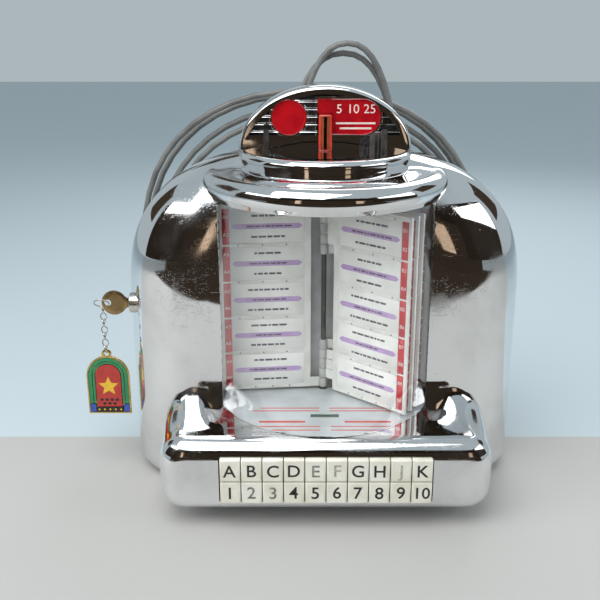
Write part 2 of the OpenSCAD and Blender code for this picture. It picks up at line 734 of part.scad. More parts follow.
module hinge_base() color([0.6, 0.6, 0.62]) {
    union() {
        difference() {
            union() {
                box(hinge_x - 3.1, hinge_x - 1.6, hinge_y + 3.4, 74, hinge_z, hinge_z + 5 * hinge_step);
                for (i = [0, 2, 4]) translate([0, 0, hinge_z + i * hinge_step]) {
                    translate([hinge_x, hinge_y, 0]) cylinder(r = hinge_r, h = hinge_step, $fn = 48);
                    box(hinge_x - 2.6, hinge_x - 1.6, hinge_y, hinge_y + 4, 0, hinge_step);
                }
            }
            hinge_pin(hinge_pin_r);
        }
        hinge_pin(hinge_pin_r);
        for (z = [hinge_z - 1.5, hinge_z + 5 * hinge_step])
            translate([hinge_x, hinge_y, z]) cylinder(r = 2, h = 1.5, $fn = 48);
    }
}

module hinge_cover() color([0.6, 0.6, 0.62]) {
    inner_x = case_w / 2 - wall;
    difference() {
        union() {
            box(inner_x - 1.6, inner_x - 0.2, 34, hinge_y - 1, hinge_z, hinge_z + 5 * hinge_step);
            for (i = [1, 3]) translate([hinge_x, hinge_y, hinge_z + i * hinge_step + seat])
                cylinder(r = hinge_r, h = hinge_step - 2 * seat, $fn = 48);
        }
        hinge_pin(hinge_pin_r + fit);
        for (i = [0, 2, 4]) translate([hinge_x, hinge_y, hinge_z + i * hinge_step - seat])
            cylinder(r = hinge_r + 0.4, h = hinge_step + 2 * seat, $fn = 48);
    }
}

// Coin chute in the pan with its runway, its cradle window and the coin switch
module coin_rejector() color([0.72, 0.7, 0.62]) {
    difference() {
        box(-8, 8, pan_y + 3, back_y - pan_t - seat, 96, brow_z + 6);
        box(-slot_w / 2 - 0.4, slot_w / 2 + 0.4, pan_y + 5, back_y - pan_t - 3, 95, brow_z);
        box(-slot_w / 2 - 0.4, slot_w / 2 + 0.4, pan_y + 2, 60, brow_z - 12, brow_z + 2);
        translate([0, 62, 170]) rod_x(12, 3, 9);
        box(3, 9, 54, 70, 120, 146);
        box(-9, -3, 52, 72, 190, 236);
    }
    translate([8, 0, 0]) difference() {
        box(0, 12, 50, 66, 100, 112);
        translate([6, 0, 106]) rod_y(1.5, 49, 67);
    }
}

module lockout_coil() color([0.6, 0.25, 0.12]) {
    translate([-24, 0, 150]) union() {
        translate([0, 64, -14]) cylinder(r = 9, h = 28, $fn = 48);
        for (z = [-16, 14]) translate([0, 64, z]) cylinder(r = 11, h = 2, $fn = 48);
        box(-11, 11, 74, back_y - pan_t, -16, 16);
        box(8, 15.7, 60, 66, -3, 3);
    }
}

module cash_box() color([0.5, 0.5, 0.48]) {
    difference() {
        box(-24, 30, pan_y + 3, back_y - pan_t - seat, pan_t + seat, 88);
        box(-22.5, 28.5, pan_y + 4.5, back_y - pan_t - seat - 1.5, pan_t + seat + 1.5, 100);
    }
}

module terminal_strip() color([0.2, 0.18, 0.16]) {
    translate([-case_w / 2 + 45.5, 0, 90]) difference() {
        union() {
            box(-12, 12, 68, back_y - pan_t, -40, 40);
            for (i = [-4:4]) translate([0, 0, i * 8.4]) rod_y(2.6, 65.5, 69);
        }
        for (i = [-4:4]) translate([0, 0, i * 8.4]) box(-2.6, 2.6, 65, 66.3, -0.4, 0.4);
    }
}

// Hooked arm that the lock's cam closes behind
module lock_catch() color([0.6, 0.6, 0.58]) {
    cam_in = barrel_in + 2.4;
    z0 = lock_z - 30;
    side = -case_w / 2 + pan_in + pan_t;
    union() {
        box(cam_in + 1.6, cam_in + 4.6, lock_y - 9, pan_y + 26, z0, z0 + 9);
        box(barrel_in - 1, cam_in + 4.6, lock_y - 9, lock_y - 6, z0, z0 + 9);
        box(side, cam_in + 4.6, pan_y + 8, pan_y + 26, z0, z0 + 2);
    }
}

// ---- cable ----

module cable_gland() color([0.15, 0.15, 0.15]) {
    translate([gland_x, 0, gland_z]) difference() {
        union() {
            rod_y(7.5, back_y - pan_t - 2.5, back_y - pan_t);
            rod_y(5 - fit, back_y - pan_t - 1, back_y + 1);
            rod_y(7, back_y, back_y + 3);
            rod_y(4.6, back_y + 2, back_y + 12);
        }
        rod_y(cable_r - 0.2, back_y - 6, back_y + 8);
    }
}

function norm3(v) = v / norm(v);
function spline(p, i, t) = let (a = p[max(0, i - 1)], b = p[i], c = p[i + 1], d = p[min(len(p) - 1, i + 2)])
    0.5 * ((2 * b) + (c - a) * t + (2 * a - 5 * b + 4 * c - d) * t * t + (3 * b - a - 3 * c + d) * t * t * t);
function spline_path(p, per) =
    concat([for (i = [0:len(p) - 2], j = [0:per - 1]) spline(p, i, j / per)], [p[len(p) - 1]]);
function path_length(p) = let (d = [for (i = [1:len(p) - 1]) norm(p[i] - p[i - 1])]) d * [for (x = d) 1];

// Tube along a path, its rings kept level by a fixed side
module tube(path, r, sides, side) {
    n = len(path);
    rings = [for (i = [0:n - 1]) let (
        d = norm3(path[min(n - 1, i + 1)] - path[max(0, i - 1)]),
        u = norm3(cross(d, side)),
        v = cross(d, u))
        [for (k = [0:sides - 1]) path[i] + r * (cos(360 * k / sides) * u + sin(360 * k / sides) * v)]];
    polyhedron(
        points = [for (q = rings) each q],
        faces = concat(
            [[for (k = [0:sides - 1]) k]],
            [for (i = [0:n - 2], k = [0:sides - 1]) let (l = (k + 1) % sides, q = i * sides)
                [q + k, q + sides + l, q + l]],
            [for (i = [0:n - 2], k = [0:sides - 1]) let (l = (k + 1) % sides, q = i * sides)
                [q + k, q + sides + k, q + sides + l]],
            [[for (k = [sides - 1:-1:0]) (n - 1) * sides + k]]),
        convexity = 10);
}

// Loose coil standing behind the pan: four wide turns, then two tall narrow ones
turn_x = [-10, -6, -11, -5, 16, 19, -2];
turn_a = [146, 139, 150, 134, 52, 46, 44];
turn_top = [300, 290, 304, 284, 335, 343, 338];
function blend_turn(list, t) = let (k = min(coil_turns - 1, floor(t)), f = smooth((t - k - 0.62) / 0.38))
    list[k] * (1 - f) + list[k + 1] * f;
function coil_point(t) = let (
    a = -90 + 360 * t,
    top = blend_turn(turn_top, t),
    half = (top - cable_r - seat) / 2,
    power = 0.86)
    [blend_turn(turn_x, t) + blend_turn(turn_a, t) * spow(cos(a), power),
        coil_y - coil_step * t,
        cable_r + seat + half + half * spow(sin(a), power)];
coil_path = [for (i = [0:24 * coil_turns]) coil_point(i / 24)];
coil_last = len(coil_path) - 1;
coil_gap = min([for (i = [0:coil_last], j = [i + 16:1:coil_last]) norm(coil_path[i] - coil_path[j])]) - cable_d;
echo(coil_gap = coil_gap, coil_length = path_length(coil_path));
echo(lead_length = path_length(spline_path(lead_points, 4)));
echo(tail_length = path_length(spline_path(tail_points, 4)));
echo(coil_start = coil_path[0], coil_end = coil_path[coil_last]);

module cable_coil() color([0.55, 0.55, 0.54]) tube(coil_path, cable_r, 6, [0, 1, 0]);
module cable_lead() color([0.55, 0.55, 0.54]) tube(spline_path(lead_points, 3), cable_r, 8, [0, 0, 1]);
module cable_tail() color([0.55, 0.55, 0.54]) tube(spline_path(tail_points, 3), cable_r, 8, [0, 0, 1]);

// Plug on the far end, lying on its side
module cable_plug() color([0.2, 0.2, 0.2]) {
    translate([66, 101, 8 + seat]) rotate([0, 90, 20]) union() {
        cylinder(r1 = 5, r2 = 8, h = 10, $fn = 32);
        translate([0, 0, 10]) cylinder(r = 8, h = 22, $fn = 32);
        translate([0, 0, 32]) cylinder(r = 6.5, h = 4, $fn = 32);
    }
}

back_pan();
hinge_base();
coin_rejector();
lockout_coil();
cash_box();
terminal_strip();
cable_gland();
cable_lead();
cable_coil();
cable_tail();
cable_plug();
lock_catch();
cover_casting();
head_casting();
hinge_cover();
bow_window();
page_panel();
page_spindle();
round_lens();
price_lens();
coin_bezel();
coin_entry_chute();
instruction_plate();
button_frame();
button_springs();
contact_board();
lamp();
selector_disc();
selector_motor();
selector_arm();
lock_barrel();
lock_plug();
key();
key_chain();
key_fob();
page_1();
page_2();
page_3();
page_4();
page_5();
letter_button("a");  // button_a
letter_button("b");  // button_b
letter_button("c");  // button_c
letter_button("d");  // button_d
letter_button("e");  // button_e
letter_button("f");  // button_f
letter_button("g");  // button_g
letter_button("h");  // button_h
letter_button("j");  // button_j
letter_button("k");  // button_k
number_button(1);  // button_1
number_button(2);  // button_2
number_button(3);  // button_3
number_button(4);  // button_4
number_button(5);  // button_5
number_button(6);  // button_6
number_button(7);  // button_7
number_button(8);  // button_8
number_button(9);  // button_9
number_button(10);  // button_10
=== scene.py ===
from math import sin, cos, radians, floor, copysign

import bmesh
import bpy
from mathutils import Matrix, Vector


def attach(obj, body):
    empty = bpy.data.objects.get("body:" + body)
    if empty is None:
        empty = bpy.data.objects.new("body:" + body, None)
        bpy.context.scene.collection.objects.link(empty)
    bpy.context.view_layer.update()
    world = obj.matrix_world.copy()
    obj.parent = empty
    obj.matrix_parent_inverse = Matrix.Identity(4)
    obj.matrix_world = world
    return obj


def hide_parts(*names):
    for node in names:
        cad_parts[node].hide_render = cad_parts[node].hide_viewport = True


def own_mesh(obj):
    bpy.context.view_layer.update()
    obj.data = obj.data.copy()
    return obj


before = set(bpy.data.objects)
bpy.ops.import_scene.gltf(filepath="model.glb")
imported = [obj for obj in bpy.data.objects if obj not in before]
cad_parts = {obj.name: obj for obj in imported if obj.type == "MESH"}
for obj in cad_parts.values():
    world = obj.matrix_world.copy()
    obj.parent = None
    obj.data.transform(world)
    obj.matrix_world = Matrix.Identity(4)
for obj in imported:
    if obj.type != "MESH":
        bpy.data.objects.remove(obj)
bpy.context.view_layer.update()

mm = 0.001  # the part's plan is in millimetres, Blender works in metres
print("frame loaded:", len(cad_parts), "nodes")

# camera, at the photograph's viewing angle

cameraSetup = {"place": (-0.0191, -0.6470, 0.3715), "tilt": 71.5, "lens": 52.8, "sensor": 36.0}

cameraData = bpy.data.cameras.new("photoCamera")
cameraData.lens = cameraSetup["lens"]
cameraData.sensor_width = cameraSetup["sensor"]
camera = bpy.data.objects.new("photoCamera", cameraData)
camera.location = cameraSetup["place"]
camera.rotation_euler = (radians(cameraSetup["tilt"]), 0, 0)
bpy.context.collection.objects.link(camera)
bpy.context.scene.camera = camera

# small helpers for shader nodes


def newMaterial(name, **sockets):
    material = bpy.data.materials.new(name)
    material.use_nodes = True
    tree = material.node_tree
    shader = tree.nodes["Principled BSDF"]
    for socket, value in sockets.items():
        shader.inputs[socket.replace("_", " ")].default_value = value
    return material, tree, shader


def addNode(tree, kind, place=(0, 0), **values):
    node = tree.nodes.new(kind)
    node.location = place
    for key, value in values.items():
        setattr(node, key, value)
    return node


def addGroup(tree, group, place=(-500, 0), **inputs):
    node = addNode(tree, "ShaderNodeGroup", place, node_tree=group)
    for key, value in inputs.items():
        node.inputs[key].default_value = value
    return node


def newGroup(name, inputs, outputs):
    group = bpy.data.node_groups.new(name, "ShaderNodeTree")
    for label, kind, value in inputs:
        socket = group.interface.new_socket(name=label, in_out="INPUT", socket_type=kind)
        socket.default_value = value
    for label, kind in outputs:
        group.interface.new_socket(name=label, in_out="OUTPUT", socket_type=kind)
    return group, addNode(group, "NodeGroupInput", (-900, 0)), addNode(group, "NodeGroupOutput", (600, 0))


def mathNode(tree, operation, a, b=None):
    node = addNode(tree, "ShaderNodeMath", operation=operation)
    for i, value in enumerate((a, b)):
        if value is None:
            continue
        if isinstance(value, (int, float)):
            node.inputs[i].default_value = value
        else:
            tree.links.new(value, node.inputs[i])
    return node.outputs[0]


def ramp(tree, value, low, high, outLow=0.0, outHigh=1.0):
    node = addNode(tree, "ShaderNodeMapRange")
    node.interpolation_type = "SMOOTHSTEP"
    for key, number in (("From Min", low), ("From Max", high), ("To Min", outLow), ("To Max", outHigh)):
        node.inputs[key].default_value = number
    tree.links.new(value, node.inputs["Value"])
    return node.outputs["Result"]


def mixColours(tree, mask, a, b):
    node = addNode(tree, "ShaderNodeMix", data_type="RGBA")
    for socket, value in zip((node.inputs[0], node.inputs[6], node.inputs[7]), (mask, a, b)):
        if isinstance(value, (tuple, float, int)):
            socket.default_value = value
        else:
            tree.links.new(value, socket)
    return node.outputs[2]


def addBump(tree, shader, height, strength, distance):
    bump = addNode(tree, "ShaderNodeBump", (-200, -300))
    bump.inputs["Strength"].default_value = strength
    bump.inputs["Distance"].default_value = distance
    tree.links.new(height, bump.inputs["Height"])
    tree.links.new(bump.outputs["Normal"], shader.inputs["Normal"])

# effects that several materials share


def makeGrimeGroup():
    # cloudy haze, fine pits and short scratches over a surface
    group, source, out = newGroup(
        "grimeAndPits",
        [("Cloud Scale", "NodeSocketFloat", 14.0), ("Pit Scale", "NodeSocketFloat", 500.0),
            ("Pit Share", "NodeSocketFloat", 0.3)],
        [("Haze", "NodeSocketFloat"), ("Pits", "NodeSocketFloat"), ("Scratches", "NodeSocketFloat")],
    )
    where = addNode(group, "ShaderNodeTexCoord", (-900, -200)).outputs["Object"]
    cloud = addNode(group, "ShaderNodeTexNoise", (-600, 100))
    cloud.inputs["Detail"].default_value = 5
    cloud.inputs["Roughness"].default_value = 0.6
    group.links.new(where, cloud.inputs["Vector"])
    group.links.new(source.outputs["Cloud Scale"], cloud.inputs["Scale"])
    group.links.new(ramp(group, cloud.outputs["Fac"], 0.42, 0.72), out.inputs["Haze"])
    pit = addNode(group, "ShaderNodeTexVoronoi", (-600, -200))
    group.links.new(where, pit.inputs["Vector"])
    group.links.new(source.outputs["Pit Scale"], pit.inputs["Scale"])
    dots = mathNode(group, "SUBTRACT", 1.0, ramp(group, pit.outputs["Distance"], 0.08, 0.3))
    patches = ramp(group, cloud.outputs["Fac"], 0.45, 0.6)
    dots = mathNode(group, "MULTIPLY", dots, patches)
    group.links.new(mathNode(group, "MULTIPLY", dots, source.outputs["Pit Share"]), out.inputs["Pits"])
    turn = addNode(group, "ShaderNodeMapping", (-800, -500))
    turn.inputs["Scale"].default_value = (9, 9, 160)
    turn.inputs["Rotation"].default_value = (0.3, 0.6, 0.2)
    group.links.new(where, turn.inputs["Vector"])
    scratch = addNode(group, "ShaderNodeTexNoise", (-600, -500))
    scratch.inputs["Scale"].default_value = 9
    scratch.inputs["Detail"].default_value = 3
    group.links.new(turn.outputs["Vector"], scratch.inputs["Vector"])
    group.links.new(ramp(group, scratch.outputs["Fac"], 0.66, 0.74), out.inputs["Scratches"])
    return group


def makeMottleGroup():
    # soft change of tone between two colours
    group, source, out = newGroup(
        "mottle",
        [("Scale", "NodeSocketFloat", 30.0), ("Light", "NodeSocketColor", (1, 1, 1, 1)),
            ("Dark", "NodeSocketColor", (0, 0, 0, 1))],
        [("Colour", "NodeSocketColor"), ("Height", "NodeSocketFloat")],
    )
    where = addNode(group, "ShaderNodeTexCoord", (-900, -200)).outputs["Object"]
    noise = addNode(group, "ShaderNodeTexNoise", (-600, 0))
    noise.inputs["Detail"].default_value = 6
    group.links.new(where, noise.inputs["Vector"])
    group.links.new(source.outputs["Scale"], noise.inputs["Scale"])
    blend = ramp(group, noise.outputs["Fac"], 0.35, 0.68)
    group.links.new(mixColours(group, blend, source.outputs["Light"], source.outputs["Dark"]), out.inputs["Colour"])
    group.links.new(noise.outputs["Fac"], out.inputs["Height"])
    return group


grimeGroup = makeGrimeGroup()
mottleGroup = makeMottleGroup()


def wornMetal(name, light, dark, roughness, hazeRoughness, cloudScale=14.0, pitScale=500.0, pitShare=0.3):
    material, tree, shader = newMaterial(name, Metallic=1.0)
    grime = addGroup(tree, grimeGroup, (-900, 0), **{"Cloud Scale": cloudScale, "Pit Scale": pitScale,
        "Pit Share": pitShare})
    mask = mathNode(tree, "MAXIMUM", mathNode(tree, "MULTIPLY", grime.outputs["Haze"], 0.6), grime.outputs["Pits"])
    tree.links.new(mixColours(tree, mask, light + (1,), dark + (1,)), shader.inputs["Base Color"])
    rough = mathNode(tree, "MAXIMUM", grime.outputs["Haze"], grime.outputs["Pits"])
    rough = mathNode(tree, "MAXIMUM", rough, mathNode(tree, "MULTIPLY", grime.outputs["Scratches"], 0.5))
    tree.links.new(ramp(tree, rough, 0.0, 1.0, roughness, hazeRoughness), shader.inputs["Roughness"])
    height = mathNode(tree, "SUBTRACT", 1.0, mathNode(tree, "ADD", grime.outputs["Pits"],
        mathNode(tree, "MULTIPLY", grime.outputs["Scratches"], 0.15)))
    addBump(tree, shader, height, 0.5, 0.00012)
    return material


def mottled(name, light, dark, roughness, scale=30.0, bump=0.0, **sockets):
    material, tree, shader = newMaterial(name, Roughness=roughness, **sockets)
    tone = addGroup(tree, mottleGroup, (-700, 0), **{"Scale": scale, "Light": light + (1,), "Dark": dark + (1,)})
    grime = addGroup(tree, grimeGroup, (-700, -300), **{"Cloud Scale": scale * 0.7, "Pit Scale": 700.0,
        "Pit Share": 0.2})
    tree.links.new(tone.outputs["Colour"], shader.inputs["Base Color"])
    tree.links.new(ramp(tree, grime.outputs["Haze"], 0, 1, roughness * 0.8, min(1.0, roughness * 1.3)),
        shader.inputs["Roughness"])
    if bump:
        addBump(tree, shader, tone.outputs["Height"], bump, 0.0002)
    return material


chrome = wornMetal("brightChrome", (0.86, 0.87, 0.88), (0.62, 0.62, 0.62), 0.035, 0.16, cloudScale=16.0,
    pitScale=650.0, pitShare=0.5)
castInside = wornMetal("castingInside", (0.42, 0.42, 0.41), (0.28, 0.27, 0.25), 0.45, 0.7, cloudScale=40.0,
    pitScale=300.0)
zincSteel = wornMetal("zincSteel", (0.5, 0.51, 0.5), (0.33, 0.32, 0.29), 0.34, 0.6, cloudScale=22.0, pitScale=240.0)
castZinc = wornMetal("castZinc", (0.5, 0.49, 0.45), (0.34, 0.32, 0.28), 0.45, 0.7, cloudScale=50.0, pitScale=350.0)
darkSteel = wornMetal("darkSteel", (0.09, 0.09, 0.09), (0.16, 0.13, 0.1), 0.4, 0.6, cloudScale=40.0)
nickel = wornMetal("nickelPlate", (0.72, 0.7, 0.66), (0.5, 0.46, 0.4), 0.16, 0.4, cloudScale=70.0)
agedBrass = wornMetal("agedBrass", (0.42, 0.29, 0.14), (0.2, 0.13, 0.07), 0.32, 0.6, cloudScale=90.0,
    pitScale=900.0)
yellowBrass = wornMetal("yellowBrass", (0.75, 0.52, 0.17), (0.45, 0.29, 0.1), 0.22, 0.45, cloudScale=90.0,
    pitScale=900.0)
copperWinding = mottled("copperWinding", (0.42, 0.15, 0.06), (0.25, 0.08, 0.03), 0.35, 60.0)
phenolic = mottled("brownPhenolic", (0.24, 0.12, 0.06), (0.15, 0.07, 0.035), 0.45, 50.0, bump=0.1)
blackRubber = mottled("blackRubber", (0.028, 0.028, 0.028), (0.05, 0.05, 0.048), 0.55, 60.0, bump=0.15)
cableGrey = mottled("cableGrey", (0.2, 0.2, 0.19), (0.13, 0.13, 0.125), 0.42, 40.0, bump=0.12)
ivory = mottled("agedIvory", (0.84, 0.81, 0.71), (0.74, 0.7, 0.58), 0.26, 55.0, bump=0.04, Coat_Weight=0.25)
legendBlack = mottled("legendBlack", (0.012, 0.012, 0.012), (0.03, 0.03, 0.03), 0.5, 200.0)
legendGrey = mottled("legendWorn", (0.16, 0.155, 0.14), (0.3, 0.29, 0.25), 0.5, 260.0)
stripPaper = mottled("stripPaper", (0.88, 0.87, 0.84), (0.8, 0.79, 0.75), 0.6, 70.0, bump=0.05)
stripPurple = mottled("stripPurple", (0.46, 0.3, 0.56), (0.54, 0.38, 0.62), 0.6, 90.0)
printInk = mottled("printInk", (0.05, 0.045, 0.06), (0.12, 0.11, 0.13), 0.6, 300.0)
columnRed = mottled("columnRed", (0.62, 0.03, 0.04), (0.5, 0.02, 0.03), 0.3, 60.0)
columnWhite = mottled("columnWhite", (0.8, 0.76, 0.74), (0.7, 0.66, 0.64), 0.4, 60.0)
holderGrey = mottled("holderGrey", (0.55, 0.55, 0.54), (0.42, 0.42, 0.41), 0.35, 60.0)
plateGrey = mottled("plateGrey", (0.62, 0.66, 0.68), (0.54, 0.58, 0.6), 0.35, 60.0, Metallic=0.3)
plateRed = mottled("plateRed", (0.55, 0.06, 0.05), (0.62, 0.12, 0.1), 0.5, 90.0)
darkGreen = mottled("slotGreen", (0.02, 0.06, 0.04), (0.03, 0.08, 0.05), 0.4, 90.0)
redAcrylic = mottled("redAcrylic", (0.5, 0.006, 0.012), (0.36, 0.004, 0.01), 0.12, 90.0, Coat_Weight=0.6,
    Subsurface_Weight=0.15)
# the coin bezel's red: partly the acrylic's own red, partly a painted highlight of its edge-lit rim
bezelRedEdgeLit = mottled("bezelRedEdgeLit", (0.62, 0.05, 0.03), (0.42, 0.03, 0.02), 0.14, 90.0, Coat_Weight=0.5)
# painted shade: brown in the coin bezel's centre stands in for the dark seen through its clear red acrylic
bezelPaintedShade = mottled("bezelPaintedShade", (0.3, 0.08, 0.03), (0.2, 0.05, 0.02), 0.2, 90.0, Coat_Weight=0.5)
paleFigure = mottled("paleFigure", (0.88, 0.72, 0.66), (0.8, 0.62, 0.56), 0.5, 120.0)
milkGlass = mottled("milkGlass", (0.9, 0.89, 0.84), (0.84, 0.83, 0.78), 0.2, 60.0)
enamelGreen = mottled("enamelGreen", (0.02, 0.26, 0.09), (0.015, 0.2, 0.07), 0.12, 200.0, Coat_Weight=0.6)
enamelRed = mottled("enamelRed", (0.5, 0.03, 0.02), (0.42, 0.02, 0.015), 0.12, 200.0, Coat_Weight=0.6)
enamelYellow = mottled("enamelYellow", (0.85, 0.52, 0.03), (0.78, 0.44, 0.02), 0.12, 200.0, Coat_Weight=0.6)
enamelBlue = mottled("enamelBlue", (0.03, 0.1, 0.45), (0.02, 0.07, 0.36), 0.12, 200.0, Coat_Weight=0.6)
clearAcrylic, clearTree, clearShader = newMaterial("clearAcrylic", Base_Color=(0.96, 0.98, 0.98, 1), Roughness=0.02,
    IOR=1.49, Transmission_Weight=1.0)
clearGrime = addGroup(clearTree, grimeGroup, (-700, 0),
    **{"Cloud Scale": 12.0, "Pit Scale": 400.0, "Pit Share": 0.2})
clearTree.links.new(ramp(clearTree, clearGrime.outputs["Haze"], 0, 1, 0.01, 0.05), clearShader.inputs["Roughness"])
print("materials ready:", len(bpy.data.materials))

# cable: out of the gland, round the coil behind the pan, and along the table to its plug

cable = {
    "radius": 2.5, "turns": 6, "coilY": 120.0, "coilStep": 5.9, "floorGap": 0.3, "power": 0.86, "perTurn": 48,
    "turnX": (-10, -6, -11, -5, 16, 19, -2),
    "turnA": (146, 139, 150, 134, 52, 46, 44),
    "turnTop": (300, 290, 304, 284, 335, 343, 338),
    "lead": ((-60, 92, 40), (-60, 99, 39.5), (-58, 108, 36), (-53, 115, 29), (-44, 119, 20), (-33, 120.3, 11.5),
        (-22, 120.2, 5.5), (-10, 120, 2.8)),
    "tail": ((-2, 84.6, 2.8), (10, 84.6, 2.8), (24, 86, 3), (38, 90, 4), (52, 95.7, 6.5), (66, 101, 8.3)),
}


def softStep(t):
    t = min(1.0, max(0.0, t))
    return t * t * (3 - 2 * t)


def signedPower(value, power):
    return copysign(abs(value) ** power, value)


def blendTurn(values, t):
    k = min(cable["turns"] - 1, floor(t))
    share = softStep((t - k - 0.62) / 0.38)
    return values[k] * (1 - share) + values[k + 1] * share


def coilPoint(t):
    angle = radians(-90 + 360 * t)
    half = (blendTurn(cable["turnTop"], t) - cable["radius"] - cable["floorGap"]) / 2
    x = blendTurn(cable["turnX"], t) + blendTurn(cable["turnA"], t) * signedPower(cos(angle), cable["power"])
    z = cable["radius"] + cable["floorGap"] + half + half * signedPower(sin(angle), cable["power"])
    return Vector((x, cable["coilY"] - cable["coilStep"] * t, z))


def splinePath(points, per):
    points = [Vector(p) for p in points]
    path = []
    for i in range(len(points) - 1):
        a, b, c, d = points[max(0, i - 1)], points[i], points[i + 1], points[min(len(points) - 1, i + 2)]
        for j in range(per):
            t = j / per
            path.append(0.5 * (2 * b + (c - a) * t + (2 * a - 5 * b + 4 * c - d) * t * t + (3 * b - a - 3 * c
                + d) * t ** 3))
    return path + [points[-1]]


coilRoute = [coilPoint(i / cable["perTurn"]) for i in range(cable["turns"] * cable["perTurn"] + 1)]
cableRoute = splinePath(cable["lead"], 6)[:-1] + coilRoute + splinePath(cable["tail"], 6)[1:]
cableRoute = [p * mm for p in cableRoute]
cableCurve = bpy.data.curves.new("feedCable", "CURVE")
cableCurve.dimensions = "3D"
cableCurve.bevel_depth = cable["radius"] * mm
cableCurve.bevel_resolution = 3
cableCurve.use_fill_caps = True
cableSpline = cableCurve.splines.new("POLY")
cableSpline.points.add(len(cableRoute) - 1)
for point, place in zip(cableSpline.points, cableRoute):
    point.co = (*place, 1)
cableCurve.materials.append(cableGrey)
feedCable = bpy.data.objects.new("feedCable", cableCurve)
bpy.context.collection.objects.link(feedCable)
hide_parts("cable_lead", "cable_coil", "cable_tail")
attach(feedCable, "base")

# helpers for meshes; a piece is drawn in millimetres and shrunk to metres when it is done


def arcPoints(cx, cz, radius, start, end, steps):
    angles = [radians(start + (end - start) * i / steps) for i in range(steps + 1)]
    return [(cx + radius * cos(angle), cz + radius * sin(angle)) for angle in angles]


def atDepth(outline, y):
    return [(x, y, z) for x, z in outline]


def addRing(bm, points):
    verts = [bm.verts.new(p) for p in points]
    return [bm.edges.new((a, b)) for a, b in zip(verts, verts[1:] + verts[:1])]


def roundEdges(bm, edges, offset, segments):
    bmesh.ops.bevel(bm, geom=edges, offset=offset, segments=segments, profile=0.5, affect="EDGES", material=-1)


def acrossY(bm):
    # the edges of a flat part's outlines, which keep one depth
    return [e for e in bm.edges if abs(e.verts[0].co.y - e.verts[1].co.y) < 1e-5]


def cutAway(bm, place, normal, **side):
    bmesh.ops.bisect_plane(bm, geom=bm.verts[:] + bm.edges[:] + bm.faces[:], plane_co=place, plane_no=normal,
        **side)
    bmesh.ops.holes_fill(bm, edges=bm.edges, sides=0)


def addFlat(bm, outline, near, far):
    # a thin slab with the outline given in x and z
    verts = [bm.verts.new((x, near, z)) for x, z in outline]
    grown = bmesh.ops.extrude_face_region(bm, geom=[bm.faces.new(verts)])
    bmesh.ops.translate(bm, vec=(0, far - near, 0), verts=[v for v in grown["geom"] if isinstance(v,
        bmesh.types.BMVert)])


def loftRings(rings):
    bm = bmesh.new()
    loops = [addRing(bm, ring) for ring in rings]
    for a, b in zip(loops, loops[1:]):
        bmesh.ops.bridge_loops(bm, edges=a + b)
    for loop in (loops[0], loops[-1]):
        bmesh.ops.contextual_create(bm, geom=loop)
    bmesh.ops.recalc_face_normals(bm, faces=bm.faces)
    return bm


def addBox(bm, low, high, bevel=0.0, segments=2):
    made = bmesh.ops.create_cube(bm, size=1)["verts"]
    bmesh.ops.scale(bm, vec=[b - a for a, b in zip(low, high)], verts=made)
    bmesh.ops.translate(bm, vec=[(a + b) / 2 for a, b in zip(low, high)], verts=made)
    if bevel:
        roundEdges(bm, list({edge for vert in made for edge in vert.link_edges}), bevel, segments)
    return made


def addRod(bm, radius, start, end, segments=48, endRadius=None, caps=True):
    # a round bar or cone between two points
    start, end = Vector(start), Vector(end)
    turn = (end - start).to_track_quat("Z", "Y").to_matrix().to_4x4()
    place = Matrix.Translation((start + end) / 2) @ turn
    return bmesh.ops.create_cone(bm, cap_ends=caps, segments=segments, radius1=radius,
        radius2=radius if endRadius is None else endRadius,
                                 depth=(end - start).length, matrix=place)["verts"]


def addRingTube(bm, radius, wire, place, segments=32, around=10):
    # a closed wire ring in its own XY plane
    circle = bmesh.ops.create_circle(bm, segments=around, radius=wire)["verts"]
    bmesh.ops.rotate(bm, matrix=Matrix.Rotation(radians(90), 3, "X"), verts=circle)
    bmesh.ops.translate(bm, vec=(radius, 0, 0), verts=circle)
    edges = list({edge for vert in circle for edge in vert.link_edges})
    spun = bmesh.ops.spin(bm, geom=circle + edges, cent=(0, 0, 0), axis=(0, 0, 1), angle=radians(360),
        steps=segments, use_merge=True)
    island = set(circle) | {item for item in spun["geom_last"] if isinstance(item, bmesh.types.BMVert)}
    grow = list(island)
    while grow:
        for edge in grow.pop().link_edges:
            for vert in edge.verts:
                if vert not in island:
                    island.add(vert)
                    grow.append(vert)
    bmesh.ops.transform(bm, matrix=place, verts=list(island))
    return list(island)


def spinProfile(points, centreY, angle=360, steps=128):
    # a closed profile of (radius, height) turned about an upright axis at (0, centreY)
    bm = bmesh.new()
    edges = addRing(bm, [(x, centreY, z) for x, z in points])
    verts = list({vert for edge in edges for vert in edge.verts})
    face = bmesh.ops.contextual_create(bm, geom=edges)["faces"]
    if angle == 360:
        bmesh.ops.delete(bm, geom=face, context="FACES_ONLY")
        bmesh.ops.spin(bm, geom=verts + edges, cent=(0, centreY, 0), axis=(0, 0, 1), angle=radians(360),
            steps=steps, use_merge=True)
    else:
        bmesh.ops.spin(bm, geom=verts + edges + face, cent=(0, centreY, 0), axis=(0, 0, 1), angle=radians(angle),
            steps=steps)
    bmesh.ops.remove_doubles(bm, verts=bm.verts, dist=0.0005)
    bmesh.ops.recalc_face_normals(bm, faces=bm.faces)
    return bm


def toolObject(bm, materialIndex=0):
    # a solid in millimetres that cuts or joins another, and is then thrown away
    for face in bm.faces:
        face.material_index = materialIndex
    mesh = bpy.data.meshes.new("tool")
    bm.to_mesh(mesh)
    bm.free()
    for material in (chrome, castInside):
        mesh.materials.append(material)
    tool = bpy.data.objects.new("tool", mesh)
    bpy.context.collection.objects.link(tool)
    return tool


